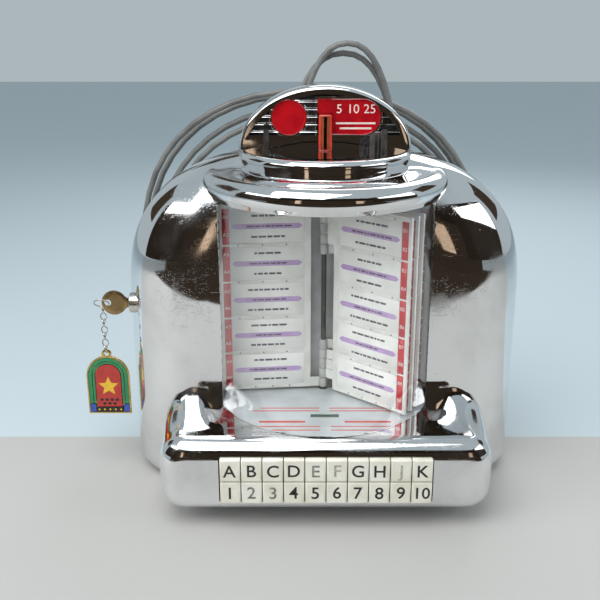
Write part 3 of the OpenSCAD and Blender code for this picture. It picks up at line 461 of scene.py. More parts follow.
def carve(target, bm, operation="DIFFERENCE", materialIndex=0):
    bmesh.ops.recalc_face_normals(bm, faces=bm.faces)
    tool = toolObject(bm, materialIndex)
    modifier = target.modifiers.new("carve", "BOOLEAN")
    modifier.object = tool
    modifier.operation = operation
    modifier.solver = "EXACT"
    bpy.context.view_layer.objects.active = target
    bpy.ops.object.modifier_apply(modifier=modifier.name)
    bpy.data.objects.remove(tool)


def boxBmesh(low, high, bevel=0.0, segments=2):
    bm = bmesh.new()
    addBox(bm, low, high, bevel, segments)
    return bm


def rodBmesh(radius, start, end, segments=64):
    bm = bmesh.new()
    addRod(bm, radius, start, end, segments)
    return bm


def finishPiece(bm, name, materials, body, replaced=(), sharp=32):
    bmesh.ops.scale(bm, vec=(mm, mm, mm), verts=bm.verts)
    for face in bm.faces:
        face.smooth = True
    for edge in bm.edges:
        edge.smooth = not (len(edge.link_faces) == 2 and edge.calc_face_angle(0) > radians(sharp))
    mesh = bpy.data.meshes.new(name)
    bm.to_mesh(mesh)
    bm.free()
    for material in materials if isinstance(materials, (list, tuple)) else [materials]:
        mesh.materials.append(material)
    piece = bpy.data.objects.new(name, mesh)
    bpy.context.collection.objects.link(piece)
    if replaced:
        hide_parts(*replaced)
    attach(piece, body)
    return piece


def fromObject(target):
    bm = bmesh.new()
    bm.from_mesh(target.data)
    bpy.data.objects.remove(target)
    bmesh.ops.remove_doubles(bm, verts=bm.verts, dist=0.002)
    bmesh.ops.dissolve_degenerate(bm, edges=bm.edges, dist=0.001)
    return bm


def softenNode(node, material, width):
    # a CAD node keeps its shape and gets small rounded edges and its material
    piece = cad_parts[node]
    piece.data.materials.clear()
    piece.data.materials.append(material)
    piece.modifiers.new("weld", "WELD").merge_threshold = 0.00001
    edge = piece.modifiers.new("edges", "BEVEL")
    edge.width = width * mm
    edge.segments = 2
    edge.limit_method = "ANGLE"
    edge.angle_limit = radians(35)
    edge.harden_normals = False

# the cover: cast housing, console, brow and ledge in one chromed shell

casting = {
    "halfWidth": 155.5, "top": 268.0, "spring": 150.0, "power": 2.7, "cornerRadius": 18.0, "wall": 3.0,
    "rearY": 50.0, "sideY": 32.0, "cheekIn": 65.0, "cheekDepth": 45.0,
    "consoleHalf": 124.0, "consoleTop": 70.0, "consoleLow": 11.0, "consoleFront": -76.0, "pillow": 16.0,
        "hornRise": 13.0,
    "bayY": 22.0, "windowRadius": 87.0, "browRadius": 93.5, "browLip": 236.3, "nose": 9.5,
    "ledgeY": 35.6, "ledgeRadius": 66.6, "ledgeRound": 5.0, "seatZ": 267.0,
    "buttonHalf": 78.9, "buttonLow": 22.7, "buttonHigh": 59.6, "spineY": 26.0, "tabRadius": (41.8, 48.2),
    "lockY": 16.0, "lockZ": 147.5, "lockRadius": 8.05, "postX": 92.0, "postZ": (84.0, 200.0),
}


def archOutline(inset, low):
    c = casting
    width, height = c["halfWidth"] - inset, c["top"] - c["spring"] - inset
    r = c["cornerRadius"]
    top = []
    for i in range(97):
        angle = radians(180 * i / 96)
        top.append((width * signedPower(cos(angle), 2 / c["power"]),
            c["spring"] + height * signedPower(max(0.0, sin(angle)), 2 / c["power"])))
    return arcPoints(width - r, low + r, r, -90, 0, 10) + top + arcPoints(-width + r, low + r, r, 180, 270, 10)


def consoleOutline(inset, rise):
    c = casting
    width, r = c["consoleHalf"] - inset, c["cornerRadius"] - inset / 2
    top, low = c["consoleTop"] - inset, c["consoleLow"] + inset
    lift = lambda p: (p[0], p[1] + rise * softStep((abs(p[0]) - 78) / 22))
    upper = arcPoints(width - r, top - r, r, 0, 90, 10)
    upper += [((width - r) * (1 - i / 24), top) for i in range(1, 48)]
    upper += arcPoints(-width + r, top - r, r, 90, 180, 10)
    return arcPoints(width - r, low + r, r, -90, 0, 10) + [lift(p) for p in upper] + arcPoints(-width + r, low + r,
        r, 180, 270, 10)


def caseRings(inset):
    c = casting
    rings = [atDepth(archOutline(inset, inset), c["rearY"] + (1 if inset else 0))]
    for i in range(25):
        angle = radians(90 * i / 24)
        e = c["cheekIn"] * (1 - cos(angle))
        rings.append(atDepth(archOutline(e + inset, inset + max(0, e - 45) / 2),
            c["sideY"] + inset - c["cheekDepth"] * sin(angle)))
    return rings


def consoleRings(inset):
    c = casting
    rise = lambda y: c["hornRise"] * (1 - softStep((-y - 14) / 46))
    rings = [atDepth(consoleOutline(inset, rise(y)), y + inset) for y in (2, -10, -15, -20, -25, -30, -36, -42, -50,
        -55)]
    for i in range(13):
        angle = radians(90 * i / 12)
        y = c["consoleFront"] + c["pillow"] * (1 - sin(angle))
        rings.append(atDepth(consoleOutline(inset + c["pillow"] * (1 - cos(angle)), rise(y)), y + inset))
    return rings


def buildCasting():
    c = casting
    shell = toolObject(loftRings(caseRings(0)))
    carve(shell, loftRings(consoleRings(0)), "UNION")
    nose = c["browRadius"] - c["nose"]
    brow = [(30, 250), (30, 258), (58, 257.5), (72, 256.6)] + arcPoints(nose, c["browLip"] + c["nose"] - 0.5,
        c["nose"], 100, -40, 20)
    brow += [(nose + 5.4, c["browLip"]), (c["windowRadius"] + 1, c["browLip"]), (c["windowRadius"] + 1, 246),
        (c["windowRadius"] - 6, 250)]
    carve(shell, spinProfile(brow, c["bayY"], -180, 96), "UNION")
    r = c["ledgeRound"]
    ledge = [(0.2, 250), (c["ledgeRadius"] - 1, 250)] + arcPoints(c["ledgeRadius"] - r, c["seatZ"] - r, r, 0, 90,
        10) + [(0.2, c["seatZ"])]
    ledgeBmesh = spinProfile(ledge, c["ledgeY"], 360, 128)
    bmesh.ops.holes_fill(ledgeBmesh, edges=ledgeBmesh.edges, sides=0)
    cutAway(ledgeBmesh, (0, 40, 0), (0, 1, 0), clear_outer=True)
    carve(shell, ledgeBmesh, "UNION")
    carve(shell, loftRings(caseRings(c["wall"])), materialIndex=1)
    carve(shell, loftRings(consoleRings(c["wall"])), materialIndex=1)
    carve(shell, rodBmesh(c["ledgeRadius"] - 4.5, (0, c["ledgeY"], 245), (0, c["ledgeY"], c["seatZ"] - 3.5), 96),
        materialIndex=1)
    carve(shell, boxBmesh((-75, -60, c["seatZ"]), (75, 52, 270)))
    bay = toolObject(boxBmesh((-c["windowRadius"] + 5, -14, c["consoleTop"] - 4), (c["windowRadius"] - 5, -9, 249)))
    carve(bay, rodBmesh(c["windowRadius"] + 0.3, (0, c["bayY"], 0), (0, c["bayY"], 300), 128), "INTERSECT")
    carve(shell, fromObject(bay))
    for radius, low, high in ((80, 66, 86), (84.2, 68.3, 249), (87.3, 70, 90)):
        carve(shell, rodBmesh(radius, (0, c["bayY"], low), (0, c["bayY"], high), 128))
    slot = spinProfile([(c["tabRadius"][0], 245), (c["tabRadius"][1], 245), (c["tabRadius"][1], 270),
        (c["tabRadius"][0], 270)], c["spineY"], -180, 64)
    carve(shell, slot)
    carve(shell, boxBmesh((-4.5, 30, 245), (4.5, 52, 268)))
    carve(shell, boxBmesh((-c["buttonHalf"], -85, c["buttonLow"]), (c["buttonHalf"], -64, c["buttonHigh"]), 1.0, 3))
    carve(shell, rodBmesh(c["lockRadius"], (-170, c["lockY"], c["lockZ"]), (-129, c["lockY"], c["lockZ"])))
    carve(shell, boxBmesh((146.6, 46, 18), (160, 52, 147)))
    carve(shell, boxBmesh((-149.3, 43.7, -1), (149.3, 52, 8)))
    bm = fromObject(shell)
    for x in (-c["postX"], c["postX"]):
        for z in c["postZ"]:
            for vert in addRod(bm, 4, (x, -9 if z > 150 else -11.5, z), (x, 31.2, z), 24):
                for face in vert.link_faces:
                    face.material_index = 1
    return finishPiece(bm, "coverCasting", [chrome, castInside], "cover", ["cover_casting"], sharp=28)


buildCasting()
print("cover casting made")

# the head: half dome with louvres, lenses and the coin slot's bezel

head = {
    "width": 132.0, "height": 48.0, "seatZ": 267.0, "frontY": 25.0, "recess": 4.5, "rim": 6.0, "bandHeight": 11.0,
    "ribs": 5, "ribZ": 280.2, "ribPitch": 5.6, "ribThick": 1.8, "lens": (-27.5, 291.4), "lensRadius": 13.5,
    "priceX": -6.0, "priceEnd": (28.5, 291.9), "slotHeight": 24.8,
}


def domeOutline(inset, low=0.0):
    w, h = head["width"] / 2 - inset, head["height"] - inset
    return [(w * cos(radians(i * 3)), head["seatZ"] + low + h * sin(radians(i * 3))) for i in range(61)]


def priceOutline(grow):
    x, z = head["priceEnd"]
    r = head["lensRadius"] + grow
    return [(head["priceX"] - grow, z - r)] + arcPoints(x, z, r, -90, 90, 28) + [(head["priceX"] - grow, z + r)]


def prismBmesh(outline, near, far, bevel=0.0):
    bm = loftRings([atDepth(outline, far), atDepth(outline, near)])
    if bevel:
        edges = [e for e in bm.edges if all(abs(v.co.y - near) < 1e-4 for v in e.verts)]
        roundEdges(bm, edges, bevel, 3)
    return bm


def buildHead():
    h = head
    y, seat, slot = h["frontY"], h["seatZ"], h["slotHeight"]
    shell = toolObject(loftRings([atDepth(domeOutline(e), d) for d, e in (
        (54, 9), (53.3, 6), (52.5, 3.5), (51, 1.9), (49, 0.8), (47, 0.2), (45, 0), (30, 0), (28, 0.15), (26.9, 0.6),
            (26, 1.3), (25.3, 2.2), (25, 3.1))]))
    recess = loftRings([atDepth(domeOutline(h["rim"] + 1.5), y + h["recess"]),
        atDepth(domeOutline(h["rim"]), y - 1)])
    cutAway(recess, (0, 0, seat + h["bandHeight"]), (0, 0, 1), clear_inner=True)
    carve(shell, recess, materialIndex=1)
    inner = loftRings([atDepth(domeOutline(e, -1.0), d) for d, e in ((51, 8), (45, 3), (32.5, 3))])
    carve(shell, inner, materialIndex=1)
    for i in range(h["ribs"]):
        z = h["ribZ"] + i * h["ribPitch"]
        rib = toolObject(boxBmesh((-64, y + 0.6, z), (64, y + h["recess"] + 1, z + h["ribThick"]), 0.55, 2))
        carve(rib, loftRings([atDepth(domeOutline(h["rim"] - 1), y + h["recess"] + 2),
            atDepth(domeOutline(h["rim"] - 1), y)]), "INTERSECT")
        carve(shell, fromObject(rib), "UNION")
    lensX, lensZ = h["lens"]
    ring = bmesh.new()
    addRod(ring, h["lensRadius"] + 1.6, (lensX, y + 0.8, lensZ), (lensX, y + h["recess"] + 1, lensZ), 72)
    roundEdges(ring, [e for e in ring.edges if all(v.co.y < y + 1 for v in e.verts)], 0.5, 3)
    carve(shell, ring, "UNION")
    frameRing = prismBmesh(priceOutline(1.6), y + 0.8, y + h["recess"] + 1, 0.5)
    carve(shell, frameRing, "UNION")
    carve(shell, rodBmesh(h["lensRadius"] + 0.05, (lensX, y - 1, lensZ), (lensX, y + 9, lensZ), 72))
    carve(shell, prismBmesh(priceOutline(0.1), y - 1, y + 9))
    carve(shell, boxBmesh((-5.3, y - 1, seat - 1), (5.3, y + 9, seat + slot + 2.4)))
    return finishPiece(fromObject(shell), "headCasting", [chrome, louvreDark], "cover", ["head_casting"], sharp=30)


def buildLenses():
    h = head
    y, seat, slot = h["frontY"], h["seatZ"], h["slotHeight"]
    lensX, lensZ = h["lens"]
    bm = bmesh.new()
    addRod(bm, h["lensRadius"] - 0.05, (lensX, y + 1.6, lensZ), (lensX, y + 7.6, lensZ), 72)
    face = [f for f in bm.faces if all(v.co.y < y + 1.7 for v in f.verts)]
    for depth, thickness in ((-0.35, 0.35), (-0.1, 0.6), (0.45, 0.8), (0.0, 0.5), (-0.3, 3.5), (-0.25, 4.0)):
        bmesh.ops.inset_region(bm, faces=face, thickness=thickness, depth=0)
        bmesh.ops.translate(bm, vec=(0, depth, 0), verts=face[0].verts[:])
    bmesh.ops.recalc_face_normals(bm, faces=bm.faces)
    finishPiece(bm, "roundLens", redAcrylic, "cover", ["round_lens"], sharp=40)
    price = prismBmesh(priceOutline(-0.1), y + 1.6, y + 9)
    front = [f for f in price.faces if all(v.co.y < y + 2 for v in f.verts)]
    bmesh.ops.inset_region(price, faces=front, thickness=0.9, depth=0)
    bmesh.ops.translate(price, vec=(0, 0.5, 0), verts=list({v for f in front for v in f.verts}))
    priceObject = toolObject(price)
    carve(priceObject, boxBmesh((-7, y - 2, seat - 1), (5.5, y + 12, seat + slot + 2.6)))
    finishPiece(fromObject(priceObject), "priceWindow", redAcrylic, "cover", ["price_lens"])
    # the bezel's red is partly the acrylic's own colour and partly a painted highlight of its edge-lit rim
    bezel = toolObject(boxBmesh((-5.05, y - 5, seat), (5.05, y + 7.5, seat + slot + 2.2), 1.1, 3))
    carve(bezel, boxBmesh((-3.3, y - 6, seat + 0.6), (3.3, y - 4.4, seat + slot + 1.2), 0.3, 1))
    carve(bezel, boxBmesh((-1.2, y - 6, seat + 0.8), (1.2, y + 9, seat + slot + 0.8)))
    finishPiece(fromObject(bezel), "coinBezel", bezelRedEdgeLit, "cover", ["coin_bezel"])
    # painted shade: this brown piece in the bezel's front recess stands in for the dark seen through the clear red
    # acrylic
    shadeInsert = toolObject(boxBmesh((-3.2, y - 4.7, seat + 0.7), (3.2, y - 3.9, seat + slot + 1.1), 0.25, 2))
    carve(shadeInsert, boxBmesh((-1.3, y - 6, seat + 1.0), (1.3, y, seat + slot + 0.7)))
    finishPiece(fromObject(shadeInsert), "bezelShadeInsert", bezelPaintedShade, "cover")
    figures = bmesh.new()
    for text, x, z, size in (("5", 10.5, 297.4, 9.5), ("10", 21, 297.4, 9.5), ("25", 33.5, 297.4, 9.5)):
        addText(figures, text, (x, y + 2.02, z), size, 0.1)
    for z, left, right in ((287.0, 8, 38), (283.2, 11, 35)):
        addBox(figures, (left, y + 1.98, z - 0.7), (right, y + 2.1, z + 0.7))
    finishPiece(figures, "priceFigures", paleFigure, "cover")


textMeshes = {}


def addText(bm, text, place, size, thick, bold=0.0):
    # generic letters and numbers, centred on their place and facing the front
    key = (text, size, thick, bold)
    if key not in textMeshes:
        curve = bpy.data.curves.new("legend", "FONT")
        curve.body = text
        curve.size = size
        curve.align_x = "CENTER"
        curve.align_y = "CENTER"
        curve.extrude = thick / 2
        curve.offset = bold
        curve.resolution_u = 4
        holder = bpy.data.objects.new("legend", curve)
        bpy.context.collection.objects.link(holder)
        bpy.context.view_layer.update()
        textMeshes[key] = bpy.data.meshes.new_from_object(holder)
        bpy.data.objects.remove(holder)
    before = len(bm.verts)
    bm.from_mesh(textMeshes[key])
    bm.verts.ensure_lookup_table()
    fresh = bm.verts[before:]
    bmesh.ops.transform(bm, matrix=Matrix.Translation(place) @ Matrix.Rotation(radians(90), 4, "X"), verts=fresh)


louvreDark = mottled("louvreDark", (0.012, 0.012, 0.013), (0.03, 0.03, 0.03), 0.5, 80.0)
buildHead()
buildLenses()
print("head made")

# bow window and the plate below it


def buildWindow():
    c = casting
    bm = spinProfile([(85.3, 70.1), (87, 70.1), (87, 244.3), (85.3, 244.3)], c["bayY"], -180, 96)
    cutAway(bm, (0, -11, 0), (0, 1, 0), clear_outer=True)
    bmesh.ops.recalc_face_normals(bm, faces=bm.faces)
    pane = finishPiece(bm, "bowWindow", clearAcrylic, "cover", ["bow_window"])
    pane.visible_shadow = False


buildWindow()

softenNode("instruction_plate", plateGrey, 0.25)
plateInk = bmesh.new()
for row, (depth, half, height) in enumerate(((-52, 44, 1.5), (-46, 52, 1.5), (-38, 50, 3.2), (-19, 56, 1.5),
        (-14, 50, 1.5))):
    for side in (-1, 1):
        start = 15 if row in (2,) else 4
        addBox(plateInk, (min(side * start, side * half), depth - height / 2, 69.8),
            (max(side * start, side * half), depth + height / 2, 69.86))
finishPiece(plateInk, "plateLines", plateRed, "cover")
slotPlate = bmesh.new()
addBox(slotPlate, (-10.6, -29.8, 68.6), (10.6, -24.2, 69.4), 0.2, 1)
finishPiece(slotPlate, "plateSlot", darkGreen, "cover")
print("window made")

# selection buttons: bevelled caps with their stems, and a legend on each

bank = {
    "pitch": 15.6, "rowPitch": 17.9, "rowZ": 32.2, "gap": 0.6, "faceY": -79.95, "capDepth": 14.0, "bevel": 1.1,
    "legendSize": 13.6, "letters": "ABCDEFGHJK", "worn": ("F", "J"), "faded": ("2", "3", "E"),
}


def buildButton(index, upper):
    b = bank
    x = (index - 4.5) * b["pitch"]
    z = b["rowZ"] + (b["rowPitch"] if upper else 0)
    w, h = (b["pitch"] - b["gap"]) / 2, (b["rowPitch"] - b["gap"]) / 2
    bm = bmesh.new()
    addBox(bm, (x - w, b["faceY"], z - h), (x + w, b["faceY"] + b["capDepth"], z + h))
    front = [f for f in bm.faces if all(v.co.y < b["faceY"] + 0.1 for v in f.verts)]
    roundEdges(bm, list(front[0].edges), b["bevel"], 4)
    long = [e for e in bm.edges if abs(e.verts[0].co.y - e.verts[1].co.y) > 8]
    roundEdges(bm, long, 0.35, 2)
    front = [f for f in bm.faces if all(v.co.y < b["faceY"] + 0.02 for v in f.verts)]
    bmesh.ops.inset_region(bm, faces=front, thickness=1.2, depth=0)
    bmesh.ops.translate(bm, vec=(0, 0.08, 0), verts=list({v for f in front for v in f.verts}))
    addBox(bm, (x - 2.5, b["faceY"] + b["capDepth"], z - 1.5), (x + 2.5, -40, z + 1.5), 0.2, 1)
    addBox(bm, (x - 3.7, -50.3, z - 1.5), (x + 3.7, -48.9, z + 1.5), 0.15, 1)
    label = b["letters"][index] if upper else str(index + 1)
    body = "button_" + label.lower()
    finishPiece(bm, "cap" + label, ivory, body, [body], sharp=50)
    mark = bmesh.new()
    size = b["legendSize"] * (0.96 if label == "10" else 1.0)
    shift = ((index * 37 % 11) / 11 - 0.5) * 0.7
    addText(mark, label, (x + shift, b["faceY"] + 0.06, z - 0.6 + (index * 53 % 7) / 14), size, 0.06, bold=0.16)
    material = legendFaint if label in b["worn"] else legendGrey if label in b["faded"] else legendBlack
    finishPiece(mark, "legend" + label, material, body, sharp=60)


legendFaint = mottled("legendFaint", (0.3, 0.29, 0.25), (0.5, 0.48, 0.42), 0.5, 300.0)
for index in range(10):
    buildButton(index, True)
    buildButton(index, False)
print("buttons made")

# title pages: strips, arrow bands, separators and number columns on every face

rack = {
    "spineY": 26.0, "rest": (174, 42, 36, 30, 5), "lowZ": 71.5, "pitch": 30.1, "plateHalf": 0.45, "stripIn": 16.0,
        "stripOut": 74.2,
    "columnIn": 74.6, "columnOut": 80.3, "codes": "ABCDEFGHJK",
}


def pageMatrix(page, side):
    # seen from its outside a face reads along local x, and local -y points at the reader
    angle = radians(rack["rest"][page - 1])
    out = Vector((cos(angle), -sin(angle), 0)) * side
    normal = Vector((-sin(angle), -cos(angle), 0)) * side
    return Matrix(((out.x, -normal.x, 0, 0), (out.y, -normal.y, 0, rack["spineY"]), (0, 0, 1, 0), (0, 0, 0, 1)))


def dressPage(page, side):
    r = rack
    letter = r["codes"][(page * 2 - 3 if side > 0 else page * 2 - 2) if page > 1 else (9 if side > 0 else 0)]
    face = r["plateHalf"]
    paper, purple, ink, red, white = (bmesh.new() for _ in range(5))
    flat = lambda bm, a, b, near, far, low, high, bevel=0.0: addBox(bm, (min(side * a, side * b), near, low),
        (max(side * a, side * b), far, high), bevel, 1)
    for row in range(5):
        low = r["lowZ"] + 3.65 + row * r["pitch"]
        high = low + r["pitch"] - 3.3
        middle = (low + high) / 2
        flat(paper, r["stripIn"], r["stripOut"], -face - 0.24, -face - 0.01, low, high, 0.08)
        flat(red, r["columnIn"], r["columnOut"], -face - 0.26, -face - 0.01, low - 0.9, high + 0.9, 0.08)
        ends = sorted((side * (r["stripIn"] + 1.4), side * (r["stripOut"] - 1.2)))
        addFlat(purple, [(ends[0], middle), (ends[0] + 2.6, middle - 2.1), (ends[1] - 2.6, middle - 2.1),
            (ends[1], middle),
                         (ends[1] - 2.6, middle + 2.1), (ends[0] + 2.6, middle + 2.1)], -face - 0.23, -face - 0.29)
        for lift, height in ((8.4, 1.6), (-8.4, 1.6), (0, 1.2)):
            width = 20 + (page * 7 + side * 3 + row * 11 + int(lift)) * 29 % 15
            addWords(ink, sum(ends) / 2, middle + lift, width, height, -face - (0.33 if lift == 0 else 0.28),
                page * 31 + row * 7 + int(lift) + side)
        for part, lift in ((0, 7.6), (1, -6.4)):
            code = letter + str((9 - 2 * row + part) % 10)
            addText(white, code, (side * (r["columnIn"] + r["columnOut"]) / 2, -face - 0.28, middle + lift), 4.0,
                0.06)
    for row in range(6):
        z = r["lowZ"] + 2.0 + row * r["pitch"]
        for dot in ((30, 49, 68) if row else (28, 42, 56, 70)):
            addRod(ink, 0.62, (side * dot, -face - 0.62, z), (side * dot, -face - 0.45, z), 10)
    matrix = pageMatrix(page, side)
    label = f"{page}{'a' if side > 0 else 'b'}"
    for bm, name, material in ((paper, "strips", stripPaper), (purple, "bands", stripPurple),
            (ink, "print", printInk),
                               (red, "column", columnRed), (white, "codes", columnWhite)):
        bmesh.ops.transform(bm, matrix=matrix, verts=bm.verts)
        finishPiece(bm, name + label, material, f"page_{page}", sharp=60)


def addWords(bm, middleX, z, width, height, depth, seed):
    # short bars in place of a line of words
    x = middleX - width / 2
    step = seed % 97
    while x < middleX + width / 2:
        step = (step * 53 + 17) % 97
        length = 2.0 + step % 5
        addBox(bm, (x, depth, z - height / 2), (x + length, depth + 0.05, z + height / 2))
        x += length + 0.9


for page in range(1, 6):
    for side in (-1, 1):
        dressPage(page, side)
print("pages dressed")

# lock, key, chain and fob

keySet = {
    "bow": (-166.8, 147.5), "bowRadius": 10.0, "holeX": -172.0, "holeRadius": 2.8, "y": 16.0, "thick": 1.6,
    "barrelOut": -154.0, "barrelIn": -130.0, "ringRadius": 6.0, "ringTurn": -45, "ringAt": 1.5, "wire": 0.55,
    "links": 7, "linkRadius": 3.1, "step": 5.65, "chain": (-177.3, 139.65), "hangY": 21.3,
    "fobZ": 101.5, "fobHalf": 17.6, "fobHeight": 53.0, "archDrop": 19.5, "fobThick": 2.2,
}


def buildKey():
    k = keySet
    x, z = k["bow"]
    shoulder = [(8.6, 5.2), (10.2, 4.0), (12.3, 3.7), (12.4, 3.1), (32.4, 3.1)]
    outline = arcPoints(x, z, k["bowRadius"], 42, 318, 56) + [(x + along, z - half) for along, half in shoulder]
    outline += [(x + along, z + half) for along, half in reversed(shoulder)]
    bm = loftRings([atDepth(outline, k["y"] + k["thick"] / 2), atDepth(outline, k["y"] - k["thick"] / 2)])
    roundEdges(bm, acrossY(bm), 0.25, 2)
    keyObject = toolObject(bm)
    carve(keyObject, rodBmesh(k["holeRadius"], (k["holeX"], k["y"] - 3, z), (k["holeX"], k["y"] + 3, z), 40))
    for side in (-1, 1):
        carve(keyObject, rodBmesh(6.6, (x + 1.2, k["y"] + side * 0.78, z), (x + 1.2, k["y"] + side * 3, z), 48))
    finishPiece(fromObject(keyObject), "key", agedBrass, "key", ["key"], sharp=35)


def buildChain():
    k = keySet
    x, z = k["chain"]
    bm = bmesh.new()
    place = Matrix.Translation((x, k["y"], k["bow"][1])) @ Matrix.Rotation(radians(k["ringTurn"]), 4, "X")
    place = place @ Matrix.Translation((0, k["ringAt"], 0))
    addRingTube(bm, k["ringRadius"], k["wire"], place, 48, 12)
    for i in range(k["links"]):
        link = addRingTube(bm, k["linkRadius"], k["wire"], Matrix.Identity(4), 40, 12)
        for vert in link:
            # long oval, twisted from end to end
            vert.co.x *= 0.78
            turn = radians(30) * max(-1, min(1, vert.co.y / k["linkRadius"]))
            vert.co = Matrix.Rotation(-turn, 3, "Y") @ vert.co
        spin = 90 if i % 2 == 0 else 0
        hang = Matrix.Translation((x, k["hangY"], z - i * k["step"])) @ Matrix.Rotation(radians(spin), 4, "Z")
        bmesh.ops.transform(bm, matrix=hang @ Matrix.Rotation(radians(90), 4, "X"), verts=link)
    finishPiece(bm, "keyChain", nickel, "fob", ["key_chain"], sharp=60)


def fobArch(grow, low):
    k = keySet
    x = k["chain"][0]
    half = k["fobHalf"] - grow
    return [(x - half, low), (x + half, low)] + arcPoints(x, k["fobZ"] - k["archDrop"], half, 0, 180, 40)


def archBand(outer, inner, low):
    k = keySet
    x, z = k["chain"][0], k["fobZ"] - k["archDrop"]
    a, b = k["fobHalf"] - outer, k["fobHalf"] - inner
    return [(x - b, low), (x - a, low)] + arcPoints(x, z, a, 180, 0, 40) + [(x + a, low),
        (x + b, low)] + arcPoints(x, z, b, 0, 180, 40)


def buildFob():
    k = keySet
    x, z = k["chain"][0], k["fobZ"]
    low = z - k["fobHeight"]
    front, back = k["hangY"] - k["fobThick"] / 2, k["hangY"] + k["fobThick"] / 2
    body = toolObject(prismBmesh(fobArch(0, low), front, back, 0.3))
    loop = rodBmesh(4, (x, front, z), (x, back, z), 48)
    roundEdges(loop, acrossY(loop), 0.35, 2)
    carve(body, loop, "UNION")
    carve(body, rodBmesh(2, (x, front - 2, z), (x, back + 2, z), 32))
    carve(body, prismBmesh(fobArch(1.1, low + 1.1), front - 1, front + 0.35))
    finishPiece(fromObject(body), "fobPlate", yellowBrass, "fob", ["key_fob"], sharp=35)
    floorY = front + 0.35
    fields = {"Green": enamelGreen, "Red": enamelRed, "Yellow": enamelYellow, "Blue": enamelBlue,
        "Dark": legendBlack}
    green, red, yellow, blue, dark = parts = [bmesh.new() for _ in fields]
    addFlat(green, archBand(1.4, 4.3, low + 9), floorY, front + 0.12)
    addFlat(green, archBand(4.8, 6.6, low + 9), floorY, front + 0.12)
    addFlat(red, fobArch(7.2, low + 6.2), floorY, front + 0.12)
    for side in (-1, 1):
        left, right = sorted((side * 11.6, side * 16.2))
        addBox(blue, (left + x, front + 0.1, low + 1.5), (right + x, floorY, low + 8.4))
    addBox(dark, (x - 11, front + 0.14, low + 1.5), (x + 11, floorY, low + 5.6))
    star = []
    for i in range(10):
        r = 8.6 if i % 2 == 0 else 3.9
        star.append((x + r * sin(radians(36 * i)), z - 28.5 + r * cos(radians(36 * i))))
    addFlat(yellow, star, front + 0.14, front + 0.02)
    for row in range(2):
        for column in range(4 - row):
            cx, cz = x + (column - (3 - row) / 2) * 4.2, z - 40.6 - row * 3.4
            addFlat(dark, [(cx - 1.7, cz), (cx, cz - 1.5), (cx + 1.7, cz), (cx, cz + 1.5)], front + 0.14,
                front + 0.04)
    for column in range(5):
        addRod(yellow, 0.8, (x - 9 + column * 4.5, front + 0.16, low + 3.5),
            (x - 9 + column * 4.5, front + 0.06, low + 3.5), 20)
    for bm, label in zip(parts, fields):
        finishPiece(bm, "fobEnamel" + label, fields[label], "fob", sharp=60)


def buildLock():
    k = keySet
    bm = bmesh.new()
    z = k["bow"][1]
    addRod(bm, 8, (k["barrelOut"], k["y"], z), (k["barrelIn"], k["y"], z), 64)
    roundEdges(bm, [e for e in bm.edges if abs(e.verts[0].co.x - e.verts[1].co.x) < 1e-4], 0.5, 3)
    barrel = toolObject(bm)
    carve(barrel, rodBmesh(5.05, (k["barrelOut"] - 1, k["y"], z), (k["barrelIn"] + 1, k["y"], z), 48))
    carve(barrel, rodBmesh(6.0, (k["barrelOut"] - 1, k["y"], z), (k["barrelOut"] + 0.4, k["y"], z), 48))
    finishPiece(fromObject(barrel), "lockBarrel", nickel, "cover", ["lock_barrel"], sharp=35)


buildKey()
buildChain()
buildFob()
buildLock()
print("key and fob made")

# springs, coil, plug, fasteners and the rest of the works

worksSet = {
    "springRadius": 3.85, "springWire": 0.32, "springTurns": 5.5, "springY": (-65.95, -52.05), "rows": (50.1, 32.2),
        "pitch": 15.6,
    "coilAt": (-24, 64, 150), "coilHalf": 14, "coilRadius": 9, "plugAt": (66, 101, 8.3), "plugTurn": 20,
}


def addCoilWire(bm, radius, wire, start, end, turns):
    # a ring of wire swept up its helix
    steps = 20
    ring = bmesh.ops.create_circle(bm, cap_ends=False, segments=8, radius=wire)["verts"]
    bmesh.ops.rotate(bm, verts=ring, matrix=Matrix.Rotation(radians(90), 3, "X"))
    bmesh.ops.translate(bm, verts=ring, vec=(radius, 0, 0))
    edges = list({e for v in ring for e in v.link_edges})
    axis = Vector(end) - Vector(start)
    bmesh.ops.spin(bm, geom=edges, cent=(0, 0, 0), axis=(0, 0, 1), dvec=(0, 0, axis.length / (turns * steps)),
                   angle=radians(360 * turns), steps=int(turns * steps), use_duplicate=False)
    place = Matrix.Translation(start) @ Vector((0, 0, 1)).rotation_difference(axis).to_matrix().to_4x4()
    bmesh.ops.transform(bm, matrix=place, verts=bm.verts)


def buildSprings():
    w = worksSet
    letters = "abcdefghjk"
    for row, z in enumerate(w["rows"]):
        for i in range(10):
            name = letters[i] if row == 0 else str(i + 1)
            x = (i - 4.5) * w["pitch"]
            bm = bmesh.new()
            addCoilWire(bm, w["springRadius"], w["springWire"], (x, w["springY"][1] - 0.35, z),
                (x, w["springY"][0] + 0.35, z), w["springTurns"])
            spring = finishPiece(bm, "buttonSpring" + name.upper(), nickel, "cover", ["button_springs"], sharp=60)
            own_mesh(spring)


def buildLockoutCoil():
    w = worksSet
    x, y, z = w["coilAt"]
    half = w["coilHalf"]
    winding, flanges, core = bmesh.new(), bmesh.new(), bmesh.new()
    rings = 24
    layers = [(w["coilRadius"] - (0 if i % 2 else 0.35),
        z - half + 1.6 + i * (2 * half - 3.2) / rings) for i in range(rings + 1)]
    for (r0, low), (r1, high) in zip(layers, layers[1:]):
        addRod(winding, r0, (x, y, low), (x, y, high), 48, endRadius=r1, caps=False)
    for side in (-1, 1):
        addRod(flanges, 11, (x, y, z + side * (half - 1.4)), (x, y, z + side * half), 48)
    addRod(core, 3, (x, y, z - half - 1), (x, y, z + half + 1), 32)
    finishPiece(winding, "coilWinding", copperWinding, "base", sharp=20)
    finishPiece(flanges, "coilFlanges", phenolic, "base", sharp=35)
    finishPiece(core, "coilCore", darkSteel, "base", sharp=35)


